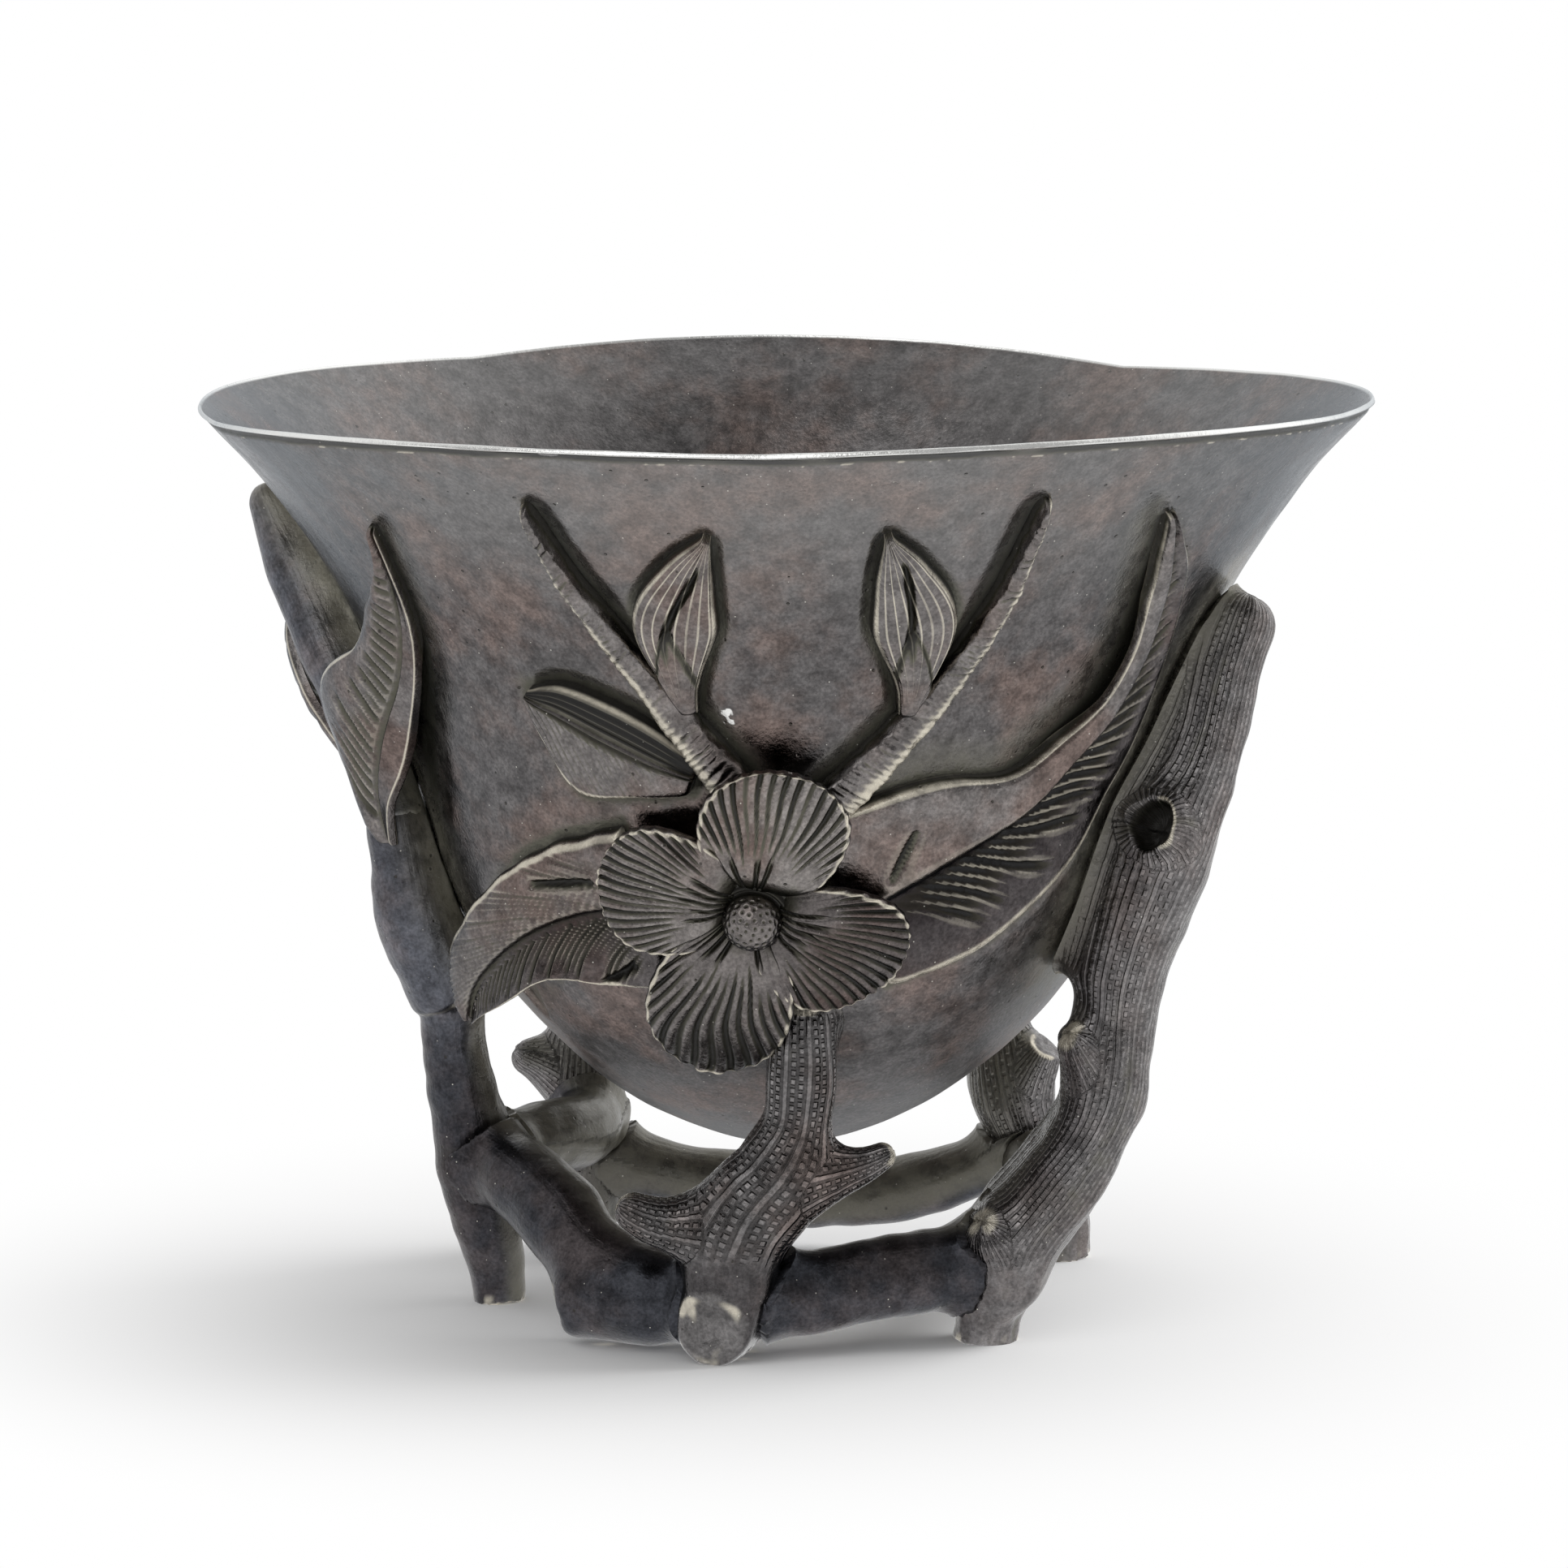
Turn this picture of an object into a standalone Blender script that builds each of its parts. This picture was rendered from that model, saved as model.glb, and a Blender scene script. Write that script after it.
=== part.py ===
"""Bronze libation cup: a flared five-lobed bowl held in an openwork stand of gnarled branches.

A blossom, buds, twigs and leaves lie on the outside of the bowl. Metres, +Z up, the floor at
Z = 0 and the bowl's axis on Z. The front of the cup faces -Y, and an azimuth is measured in
degrees from the front, positive towards +X.
"""

import math

import bmesh
import bpy
import numpy as np
from mathutils import Vector

MM = 0.001

# Gap between a piece and the piece that it is seated on
CLEAR = 0.3 * MM

# Bowl: radius of the outer wall at each level, and how far each level lies above the last one
BOTTOM_HEIGHT = 12.8 * MM
BASIN_RADIUS = 11.0 * MM
BASIN_RISE = 3.4 * MM
HEEL_RADIUS = 20.4 * MM
HEEL_RISE = 7.7 * MM
BELLY_RADIUS = 26.6 * MM
BELLY_RISE = 9.6 * MM
WAIST_RADIUS = 30.0 * MM
WAIST_RISE = 11.0 * MM
NECK_RADIUS = 34.0 * MM
NECK_RISE = 11.0 * MM
FLARE_RADIUS = 40.0 * MM
FLARE_RISE = 9.3 * MM
MOUTH_RADIUS = 45.5 * MM
MOUTH_RISE = 5.8 * MM
WALL_THICKNESS = 2.2 * MM
LIP_THICKNESS = 1.1 * MM
LIP_CROWN = 0.4 * MM
BOWL_SIDES = 60
STEPS_PER_LEVEL = 2

# Lobes of the mouth: azimuth of the seam that starts the lobe, rim lift at that seam and at the crest
LOBES = (
    (-145.0, 0.5 * MM, 0.7 * MM),
    (-75.0, 0.2 * MM, 1.25 * MM),
    (-2.0, 1.2 * MM, 1.8 * MM),
    (70.0, 1.2 * MM, 0.85 * MM),
    (142.0, -0.1 * MM, 1.45 * MM),
)
LOBE_BULGE = 0.8 * MM

# Blossom on the front of the bowl
BLOSSOM_AZIMUTH = -4.7
BLOSSOM_HEIGHT = 36.3 * MM
BOSS_RADIUS = 4.4 * MM
PETAL_STAND = 3.0 * MM
PETAL_LIFT = 0.6 * MM
PETAL_THICKNESS = 1.1 * MM
PETAL_SWELL = 0.5 * MM
STAMEN_RADIUS = 2.8 * MM
STAMEN_HEIGHT = 2.9 * MM
BLOSSOM_SIDES = 24
# Outline of a petal: share of its length at which it is widest, and the half lengths of the two
# half ellipses that narrow it towards the stamen dome and towards the tip
PETAL_WIDEST = 0.58
PETAL_INNER_ARC = 0.64
PETAL_OUTER_ARC = 0.45
PETAL_STATIONS = 11
# Petals: azimuth and height of the tip, both from the blossom's centre, and half of the width
PETALS = {
    "petal_top": (5.3, 11.1 * MM, 5.2 * MM),
    "petal_left": (-21.7, 2.6 * MM, 5.3 * MM),
    "petal_bottom": (-10.1, -13.1 * MM, 5.0 * MM),
    "petal_right": (20.6, -5.3 * MM, 5.5 * MM),
}

# Pieces laid on the bowl. A row is a station on the midline: azimuth, height, half width to the left
# and to the right of the direction of growth, and stand-off from the wall at those two edges.
TWIG_EDGE = 0.7 * MM
TWIG_CROWN = 1.4 * MM
LEFT_TWIG = (
    (-8.5, 46.3 * MM, 1.6 * MM, 1.6 * MM, CLEAR, CLEAR),
    (-13.0, 49.9 * MM, 1.5 * MM, 1.5 * MM, CLEAR, CLEAR),
    (-19.0, 54.9 * MM, 1.3 * MM, 1.3 * MM, CLEAR, CLEAR),
    (-25.0, 61.0 * MM, 1.0 * MM, 1.0 * MM, CLEAR, CLEAR),
    (-27.2, 66.2 * MM, 0.6 * MM, 0.6 * MM, CLEAR, CLEAR),
)
RIGHT_TWIG = (
    (9.0, 45.6 * MM, 1.6 * MM, 1.6 * MM, CLEAR, CLEAR),
    (16.3, 50.0 * MM, 1.5 * MM, 1.5 * MM, CLEAR, CLEAR),
    (22.0, 54.6 * MM, 1.3 * MM, 1.3 * MM, CLEAR, CLEAR),
    (26.0, 60.2 * MM, 1.0 * MM, 1.0 * MM, CLEAR, CLEAR),
    (27.0, 66.2 * MM, 0.6 * MM, 0.6 * MM, CLEAR, CLEAR),
)
BACK_TWIG = (
    (145.0, 42.0 * MM, 1.5 * MM, 1.5 * MM, CLEAR, CLEAR),
    (152.0, 48.5 * MM, 1.3 * MM, 1.3 * MM, CLEAR, CLEAR),
    (157.0, 55.5 * MM, 1.1 * MM, 1.1 * MM, CLEAR, CLEAR),
    (160.0, 63.0 * MM, 0.6 * MM, 0.6 * MM, CLEAR, CLEAR),
)

BUD_EDGE = 0.8 * MM
BUD_CROWN = 1.6 * MM
SIDE_BUD = (
    (-12.5, 46.4 * MM, 1.2 * MM, 1.2 * MM, CLEAR, CLEAR),
    (-18.5, 47.5 * MM, 2.7 * MM, 2.7 * MM, CLEAR, CLEAR),
    (-25.5, 49.3 * MM, 3.2 * MM, 3.2 * MM, CLEAR, CLEAR),
    (-32.0, 51.2 * MM, 2.1 * MM, 2.1 * MM, CLEAR, CLEAR),
    (-36.5, 52.2 * MM, 0.4 * MM, 0.4 * MM, CLEAR, CLEAR),
)
UPPER_LEFT_BUD = (
    (-12.2, 51.8 * MM, 0.9 * MM, 0.9 * MM, CLEAR, CLEAR),
    (-13.3, 54.6 * MM, 2.3 * MM, 2.3 * MM, CLEAR, CLEAR),
    (-13.0, 58.6 * MM, 3.4 * MM, 3.4 * MM, CLEAR, CLEAR),
    (-10.8, 62.0 * MM, 2.1 * MM, 2.1 * MM, CLEAR, CLEAR),
    (-8.2, 64.6 * MM, 0.4 * MM, 0.4 * MM, CLEAR, CLEAR),
)
UPPER_RIGHT_BUD = (
    (15.6, 51.8 * MM, 0.9 * MM, 0.9 * MM, CLEAR, CLEAR),
    (16.2, 54.6 * MM, 2.3 * MM, 2.3 * MM, CLEAR, CLEAR),
    (15.4, 58.8 * MM, 3.4 * MM, 3.4 * MM, CLEAR, CLEAR),
    (12.8, 62.1 * MM, 2.1 * MM, 2.1 * MM, CLEAR, CLEAR),
    (10.7, 64.5 * MM, 0.4 * MM, 0.4 * MM, CLEAR, CLEAR),
)
BACK_BUD = (
    (160.0, 54.6 * MM, 0.9 * MM, 0.9 * MM, CLEAR, CLEAR),
    (163.5, 56.2 * MM, 2.5 * MM, 2.5 * MM, CLEAR, CLEAR),
    (168.0, 58.6 * MM, 2.8 * MM, 2.8 * MM, CLEAR, CLEAR),
    (173.5, 61.6 * MM, 0.4 * MM, 0.4 * MM, CLEAR, CLEAR),
)

LEAF_EDGE = 1.3 * MM
LEAF_CROWN = 0.8 * MM
RIGHT_LEAF = (
    (11.2, 35.4 * MM, 8.6 * MM, 6.0 * MM, CLEAR, CLEAR),
    (27.0, 39.0 * MM, 6.9 * MM, 6.8 * MM, CLEAR, CLEAR),
    (38.5, 43.5 * MM, 4.4 * MM, 7.2 * MM, CLEAR, CLEAR),
    (46.1, 49.6 * MM, 3.3 * MM, 6.0 * MM, 0.6 * MM, CLEAR),
    (49.0, 56.4 * MM, 2.0 * MM, 3.7 * MM, 0.6 * MM, CLEAR),
    (46.8, 61.6 * MM, 1.1 * MM, 2.0 * MM, CLEAR, CLEAR),
    (44.2, 64.8 * MM, 0.4 * MM, 0.4 * MM, CLEAR, CLEAR),
)
LEFT_LEAF = (
    (-22.0, 35.3 * MM, 6.6 * MM, 7.4 * MM, CLEAR, CLEAR),
    (-34.9, 34.0 * MM, 5.4 * MM, 6.8 * MM, 0.6 * MM, CLEAR),
    (-45.2, 31.9 * MM, 3.2 * MM, 5.8 * MM, 2.4 * MM, 1.0 * MM),
    (-55.5, 28.2 * MM, 2.3 * MM, 4.2 * MM, 4.8 * MM, 3.6 * MM),
    (-61.0, 25.0 * MM, 0.5 * MM, 0.5 * MM, 6.6 * MM, 6.0 * MM),
)
SIDE_LEAF = (
    (-73.0, 38.0 * MM, 0.8 * MM, 0.8 * MM, 3.6 * MM, 3.2 * MM),
    (-72.0, 42.3 * MM, 4.6 * MM, 1.9 * MM, 4.2 * MM, 2.2 * MM),
    (-65.5, 46.8 * MM, 7.4 * MM, 2.3 * MM, 4.6 * MM, 0.6 * MM),
    (-58.0, 52.0 * MM, 5.2 * MM, 2.0 * MM, 3.0 * MM, CLEAR),
    (-55.0, 56.9 * MM, 3.9 * MM, 1.2 * MM, 1.2 * MM, CLEAR),
    (-53.0, 61.0 * MM, 1.2 * MM, 0.8 * MM, CLEAR, CLEAR),
    (-51.0, 64.0 * MM, 0.4 * MM, 0.4 * MM, CLEAR, CLEAR),
)
FAR_LEAF = (
    (-88.0, 43.6 * MM, 0.8 * MM, 0.8 * MM, 3.4 * MM, 3.8 * MM),
    (-93.0, 47.5 * MM, 2.0 * MM, 2.4 * MM, 4.2 * MM, 4.6 * MM),
    (-96.5, 51.8 * MM, 2.2 * MM, 2.6 * MM, 4.4 * MM, 4.8 * MM),
    (-98.0, 55.4 * MM, 1.2 * MM, 1.6 * MM, 3.4 * MM, 3.8 * MM),
    (-98.5, 58.0 * MM, 0.4 * MM, 0.4 * MM, 2.6 * MM, 3.0 * MM),
)
BACK_RIGHT_LEAF = (
    (137.0, 39.5 * MM, 1.4 * MM, 1.4 * MM, CLEAR, CLEAR),
    (128.0, 43.5 * MM, 4.2 * MM, 4.4 * MM, CLEAR, 0.5 * MM),
    (118.0, 48.8 * MM, 4.6 * MM, 4.6 * MM, CLEAR, 0.9 * MM),
    (109.5, 55.0 * MM, 2.6 * MM, 2.6 * MM, CLEAR, 0.5 * MM),
    (104.5, 60.5 * MM, 0.4 * MM, 0.4 * MM, CLEAR, CLEAR),
)
BACK_LEFT_LEAF = (
    (-146.0, 37.5 * MM, 1.4 * MM, 1.4 * MM, CLEAR, CLEAR),
    (-150.5, 43.0 * MM, 4.0 * MM, 4.2 * MM, CLEAR, CLEAR),
    (-157.0, 49.0 * MM, 4.4 * MM, 4.4 * MM, 0.6 * MM, CLEAR),
    (-164.5, 55.0 * MM, 2.6 * MM, 2.6 * MM, 0.5 * MM, CLEAR),
    (-170.5, 60.5 * MM, 0.4 * MM, 0.4 * MM, CLEAR, CLEAR),
)

# Branches of the stand. A row is a station on the centre line: azimuth, reach from the bowl's axis,
# height, and radius of the branch. The rows of a climb give the distance out from the bowl's wall in
# place of the reach, so that the branch follows the bowl. Feet start below the floor and are sawn
# flat at Z = 0.
FOOT_DEPTH = 2.0 * MM
LEFT_TRUNK_ROOT = (
    (-88.0, 22.7 * MM, -FOOT_DEPTH, 2.0 * MM),
    (-88.0, 23.0 * MM, 3.0 * MM, 2.2 * MM),
    (-87.0, 23.8 * MM, 7.0 * MM, 2.7 * MM),
    (-86.0, 24.6 * MM, 12.5 * MM, 3.2 * MM),
    (-84.0, 25.6 * MM, 17.0 * MM, 2.8 * MM),
    (-82.0, 26.4 * MM, 21.5 * MM, 2.5 * MM),
)
LEFT_TRUNK_CLIMB = (
    (-80.0, 4.9 * MM, 26.0 * MM, 2.7 * MM),
    (-78.5, 3.9 * MM, 31.0 * MM, 3.0 * MM),
    (-77.0, 2.7 * MM, 35.5 * MM, 2.8 * MM),
    (-77.5, 2.5 * MM, 39.5 * MM, 2.4 * MM),
)
LEFT_TRUNK_STUBS = (
    ((-83.0, 26.0 * MM, 19.0 * MM, 2.2 * MM), (-84.0, 28.4 * MM, 23.6 * MM, 1.5 * MM)),
    ((-86.0, 24.2 * MM, 11.0 * MM, 2.6 * MM), (-85.5, 25.9 * MM, 13.0 * MM, 1.7 * MM)),
)
LEFT_BOUGH_CLIMB = (
    (-77.4, 2.5 * MM, 38.5 * MM, 2.2 * MM),
    (-80.5, 2.4 * MM, 43.5 * MM, 2.5 * MM),
    (-86.0, 2.8 * MM, 49.0 * MM, 2.4 * MM),
    (-91.0, 3.4 * MM, 55.0 * MM, 2.3 * MM),
    (-95.0, 2.8 * MM, 60.0 * MM, 2.1 * MM),
    (-97.0, 1.5 * MM, 64.4 * MM, 1.8 * MM),
)
RIGHT_TRUNK_ROOT = (
    (46.0, 21.6 * MM, -FOOT_DEPTH, 2.4 * MM),
    (46.5, 22.0 * MM, 3.0 * MM, 2.5 * MM),
    (48.5, 23.6 * MM, 7.0 * MM, 2.9 * MM),
    (53.0, 26.2 * MM, 12.0 * MM, 3.2 * MM),
    (57.0, 28.6 * MM, 17.0 * MM, 2.8 * MM),
    (59.5, 29.2 * MM, 22.0 * MM, 2.9 * MM),
)
RIGHT_TRUNK_CLIMB = (
    (61.0, 6.0 * MM, 28.0 * MM, 3.2 * MM),
    (63.0, 4.1 * MM, 35.0 * MM, 3.7 * MM),
    (65.5, 3.9 * MM, 40.0 * MM, 3.6 * MM),
    (68.0, 4.4 * MM, 45.5 * MM, 2.9 * MM),
    (71.0, 3.4 * MM, 52.0 * MM, 2.6 * MM),
    (73.0, 2.2 * MM, 57.6 * MM, 2.3 * MM),
)
RIGHT_TRUNK_STUBS = (
    ((58.0, 28.4 * MM, 18.0 * MM, 2.2 * MM), (55.5, 28.2 * MM, 21.4 * MM, 1.8 * MM),
     (51.8, 27.8 * MM, 24.4 * MM, 1.3 * MM)),
    ((47.5, 22.6 * MM, 4.5 * MM, 2.6 * MM), (44.0, 23.2 * MM, 7.6 * MM, 2.2 * MM),
     (39.8, 23.6 * MM, 9.9 * MM, 1.5 * MM)),
)
RIGHT_LEDGE_CLIMB = (
    (63.5, 3.8 * MM, 36.5 * MM, 2.6 * MM),
    (58.8, 4.6 * MM, 40.8 * MM, 2.1 * MM),
)
RIGHT_BRACE = (
    (46.0, 20.0 * MM, 6.0 * MM, 2.2 * MM),
    (56.0, 22.0 * MM, 11.5 * MM, 1.9 * MM),
    (63.0, 25.6 * MM, 17.5 * MM, 1.7 * MM),
    (66.0, 28.4 * MM, 23.0 * MM, 1.6 * MM),
)
FRONT_STEM_CLIMB = (
    (3.4, -0.1 * MM, 28.0 * MM, 2.2 * MM),
    (3.0, 4.1 * MM, 22.5 * MM, 2.7 * MM),
)
FRONT_STEM_ROOT = (
    (2.0, 23.0 * MM, 18.5 * MM, 2.6 * MM),
    (-1.5, 22.8 * MM, 15.2 * MM, 3.2 * MM),
    (-6.0, 22.5 * MM, 12.3 * MM, 3.8 * MM),
    (-9.5, 22.2 * MM, 8.5 * MM, 3.6 * MM),
    (-11.5, 21.8 * MM, 4.0 * MM, 3.3 * MM),
)
FRONT_STEM_STUBS = (
    ((-8.0, 22.4 * MM, 10.4 * MM, 3.2 * MM), (-15.5, 23.0 * MM, 10.4 * MM, 2.5 * MM),
     (-23.0, 24.6 * MM, 10.9 * MM, 1.9 * MM), (-29.0, 26.4 * MM, 12.4 * MM, 1.3 * MM)),
    ((0.0, 22.7 * MM, 14.0 * MM, 2.9 * MM), (9.0, 22.9 * MM, 14.6 * MM, 1.9 * MM),
     (15.5, 23.2 * MM, 15.4 * MM, 1.3 * MM), (20.3, 23.9 * MM, 16.4 * MM, 1.0 * MM)),
)
FRONT_FOOT = (
    (-10.5, 16.5 * MM, 3.4 * MM, 2.7 * MM),
    (-12.3, 21.0 * MM, 2.8 * MM, 2.9 * MM),
    (-13.2, 25.2 * MM, 2.8 * MM, 3.0 * MM),
)
BACK_RIGHT_TRUNK_ROOT = (
    (125.0, 27.3 * MM, -FOOT_DEPTH, 2.0 * MM),
    (125.0, 26.8 * MM, 4.0 * MM, 2.6 * MM),
    (127.0, 25.0 * MM, 9.0 * MM, 2.9 * MM),
    (130.0, 23.0 * MM, 15.0 * MM, 2.7 * MM),
)
BACK_RIGHT_TRUNK_CLIMB = (
    (133.0, 6.9 * MM, 20.0 * MM, 2.6 * MM),
    (136.0, 3.0 * MM, 26.0 * MM, 2.7 * MM),
    (139.0, 1.3 * MM, 33.0 * MM, 2.3 * MM),
    (142.0, 0.4 * MM, 39.5 * MM, 1.6 * MM),
)
BACK_RIGHT_TRUNK_STUBS = (
    ((129.0, 23.6 * MM, 13.0 * MM, 2.2 * MM), (121.0, 24.6 * MM, 18.0 * MM, 1.5 * MM)),
)
BACK_LEFT_TRUNK_ROOT = (
    (-140.0, 25.5 * MM, -FOOT_DEPTH, 2.1 * MM),
    (-140.0, 25.0 * MM, 4.0 * MM, 2.6 * MM),
    (-139.0, 24.0 * MM, 10.0 * MM, 2.9 * MM),
    (-137.0, 23.6 * MM, 16.0 * MM, 2.7 * MM),
)
BACK_LEFT_TRUNK_CLIMB = (
    (-138.0, 5.8 * MM, 22.0 * MM, 2.6 * MM),
    (-141.0, 2.3 * MM, 28.0 * MM, 2.5 * MM),
    (-144.0, 0.6 * MM, 36.0 * MM, 1.8 * MM),
)
BACK_LEFT_TRUNK_STUBS = (
    ((-137.0, 23.8 * MM, 14.0 * MM, 2.2 * MM), (-131.5, 25.8 * MM, 15.6 * MM, 1.8 * MM),
     (-127.6, 27.8 * MM, 16.8 * MM, 1.3 * MM)),
)
FRONT_LEFT_LOG = (
    (-13.0, 19.3 * MM, 3.8 * MM, 2.8 * MM),
    (-29.0, 20.4 * MM, 4.3 * MM, 3.2 * MM),
    (-44.0, 20.9 * MM, 6.1 * MM, 3.2 * MM),
    (-58.0, 20.8 * MM, 8.8 * MM, 3.3 * MM),
    (-74.0, 21.8 * MM, 11.2 * MM, 3.3 * MM),
    (-86.0, 24.4 * MM, 12.5 * MM, 3.0 * MM),
)
FRONT_LEFT_LOG_STUBS = (
    ((-30.0, 20.5 * MM, 3.8 * MM, 2.9 * MM), (-47.5, 23.0 * MM, 2.9 * MM, 2.6 * MM)),
)
FRONT_RIGHT_LOG = (
    (-10.0, 19.6 * MM, 4.2 * MM, 2.8 * MM),
    (6.0, 20.1 * MM, 4.8 * MM, 3.2 * MM),
    (25.0, 19.8 * MM, 5.6 * MM, 3.2 * MM),
    (47.0, 21.6 * MM, 6.3 * MM, 3.0 * MM),
)
RIGHT_BACK_LOG = (
    (52.0, 22.0 * MM, 9.0 * MM, 2.6 * MM),
    (75.0, 20.6 * MM, 9.0 * MM, 2.7 * MM),
    (100.0, 21.2 * MM, 8.6 * MM, 2.7 * MM),
    (126.5, 25.4 * MM, 8.2 * MM, 2.6 * MM),
)
BACK_LOG = (
    (127.5, 24.6 * MM, 9.6 * MM, 2.5 * MM),
    (146.0, 20.6 * MM, 5.8 * MM, 2.6 * MM),
    (170.0, 18.2 * MM, 4.6 * MM, 2.7 * MM),
    (195.0, 18.4 * MM, 5.6 * MM, 2.7 * MM),
    (220.5, 24.2 * MM, 8.0 * MM, 2.5 * MM),
)
LEFT_BACK_LOG = (
    (-138.0, 23.6 * MM, 12.6 * MM, 2.6 * MM),
    (-124.0, 19.8 * MM, 11.4 * MM, 2.9 * MM),
    (-106.0, 20.0 * MM, 11.8 * MM, 3.0 * MM),
    (-86.0, 24.4 * MM, 13.0 * MM, 2.9 * MM),
)
BRANCH_SPACING = 2.6 * MM

# Patinated bronze, by kind of surface: colour, roughness
WALL_BRONZE = ((0.085, 0.068, 0.062), 0.38)
BARK_BRONZE = ((0.072, 0.060, 0.052), 0.46)
LEAF_BRONZE = ((0.080, 0.062, 0.056), 0.42)
BLOSSOM_BRONZE = ((0.095, 0.074, 0.062), 0.44)


def clear_scene():
    """Remove every object that the file holds."""
    for old in list(bpy.data.objects):
        bpy.data.objects.remove(old, do_unlink=True)


def new_collection(name):
    """Make a collection in the scene."""
    group = bpy.data.collections.new(name)
    bpy.context.scene.collection.children.link(group)
    return group


def finish(piece, bronze):
    """Give a piece its own patinated bronze."""
    colour, roughness = bronze
    material = bpy.data.materials.new(piece.name + "_bronze")
    material.use_nodes = True
    shader = material.node_tree.nodes["Principled BSDF"]
    shader.inputs["Base Color"].default_value = (*colour, 1.0)
    shader.inputs["Roughness"].default_value = roughness
    shader.inputs["Metallic"].default_value = 1.0
    piece.data.materials.clear()
    piece.data.materials.append(material)
    piece.data.shade_smooth()
    piece.data.set_sharp_from_angle(angle=math.radians(40.0))


def make_cutter(piece):
    """Hide a solid that only cuts or joins other pieces."""
    CUP.objects.unlink(piece)
    CUTTERS.objects.link(piece)
    piece.hide_render = True
    piece.display_type = "WIRE"
    return piece


def combine(piece, other, operation):
    """Join a solid to a piece, or cut it out of the piece, with a Boolean."""
    modifier = piece.modifiers.new(operation.lower() + "_" + other.name, "BOOLEAN")
    modifier.operation = operation
    modifier.object = other
    modifier.solver = "EXACT"


def fit_round(piece, cutters):
    """Cut the grown copies of the neighbours out of a piece."""
    for cutter in cutters:
        combine(piece, cutter, "DIFFERENCE")


def flow(rows, share):
    """Point at a share from 0 to 1 of the smooth curve through the rows (Catmull-Rom)."""
    rows = np.asarray(rows, dtype=float)
    spans = len(rows) - 1
    span = min(int(share * spans), spans - 1)
    t = share * spans - span
    start = rows[span]
    end = rows[span + 1]
    before = rows[span - 1] if span > 0 else 2.0 * start - end
    after = rows[span + 2] if span + 2 <= spans else 2.0 * end - start
    return 0.5 * (
        2.0 * start
        + (end - before) * t
        + (2.0 * before - 5.0 * start + 4.0 * end - after) * t**2
        + (3.0 * start - before - 3.0 * end + after) * t**3
    )


def at(azimuth, reach, height):
    """Point at an azimuth in degrees, a distance from the bowl's axis and a height."""
    angle = math.radians(azimuth)
    return Vector((reach * math.sin(angle), -reach * math.cos(angle), height))


def outer_profile():
    """Outer wall as (radius, height) points from the bottom to the rim, before the lobes."""
    rises = (0.0, BASIN_RISE, HEEL_RISE, BELLY_RISE, WAIST_RISE, NECK_RISE, FLARE_RISE, MOUTH_RISE)
    radii = (0.0, BASIN_RADIUS, HEEL_RADIUS, BELLY_RADIUS, WAIST_RADIUS, NECK_RADIUS, FLARE_RADIUS,
             MOUTH_RADIUS)
    heights = BOTTOM_HEIGHT + np.cumsum(rises)
    mirrored = [(-radii[1], heights[1])]
    rows = np.array(mirrored + list(zip(radii, heights)))
    steps = (len(rows) - 1) * STEPS_PER_LEVEL
    return np.array([flow(rows, step / steps) for step in range(STEPS_PER_LEVEL, steps + 1)])


PROFILE = outer_profile()
RIM_HEIGHT = PROFILE[-1][1]
LOBE_START = RIM_HEIGHT - MOUTH_RISE - FLARE_RISE


def lobe(azimuth):
    """Lift and outward bulge that the lobes give the rim at an azimuth."""
    for index, (seam, lift, crest) in enumerate(LOBES):
        next_seam, next_lift, _ = LOBES[(index + 1) % len(LOBES)]
        width = (next_seam - seam) % 360.0
        along = (azimuth - seam) % 360.0
        if along < width:
            share = along / width
            arch = math.sin(math.pi * share)
            level = lift + (next_lift - lift) * share
            return level + (crest - (lift + next_lift) / 2.0) * arch, LOBE_BULGE * arch
    return 0.0, 0.0


def lobed(azimuth, radius, height):
    """Point of the bowl after the lobes, which grow from the flare up to the rim."""
    share = max(0.0, (height - LOBE_START) / (RIM_HEIGHT - LOBE_START))
    lift, bulge = lobe(azimuth)
    return at(azimuth, radius + bulge * share**2, height + lift * share**2)


def wall_radius(height):
    """Radius of the outer wall at a height, before the lobes."""
    return float(np.interp(height, PROFILE[:, 1], PROFILE[:, 0]))


def on_wall(azimuth, height):
    """Point on the outside of the bowl."""
    return lobed(azimuth, wall_radius(height), height)


def wall_normal(azimuth, height):
    """Outward direction of the bowl's wall."""
    step = 0.5 * MM
    across = on_wall(azimuth + 1.0, height) - on_wall(azimuth - 1.0, height)
    upward = on_wall(azimuth, height + step) - on_wall(azimuth, height - step)
    return across.cross(upward).normalized()


def turned(name, outline, sides):
    """Solid of revolution about Z from an outline of (radius, height) that ends down its outer side."""
    mesh = bpy.data.meshes.new(name)
    points = [(radius, 0.0, height) for radius, height in outline]
    mesh.from_pydata(points, [(i, i + 1) for i in range(len(points) - 1)], [])
    profile = bpy.data.objects.new(name, mesh)
    CUP.objects.link(profile)
    screw = profile.modifiers.new("turn", "SCREW")
    screw.steps = sides
    screw.render_steps = sides
    screw.use_merge_vertices = True
    screw.merge_threshold = 0.00001
    return as_solid(profile)


def as_solid(source):
    """Replace an object by the closed mesh that its modifiers or its curve make."""
    name = source.name
    graph = bpy.context.evaluated_depsgraph_get()
    mesh = bpy.data.meshes.new_from_object(source.evaluated_get(graph))
    bpy.data.objects.remove(source, do_unlink=True)
    bm = bmesh.new()
    bm.from_mesh(mesh)
    bmesh.ops.remove_doubles(bm, verts=bm.verts[:], dist=0.000005)
    bmesh.ops.recalc_face_normals(bm, faces=bm.faces[:])
    bm.to_mesh(mesh)
    bm.free()
    mesh.name = name
    solid = bpy.data.objects.new(name, mesh)
    CUP.objects.link(solid)
    return solid


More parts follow.
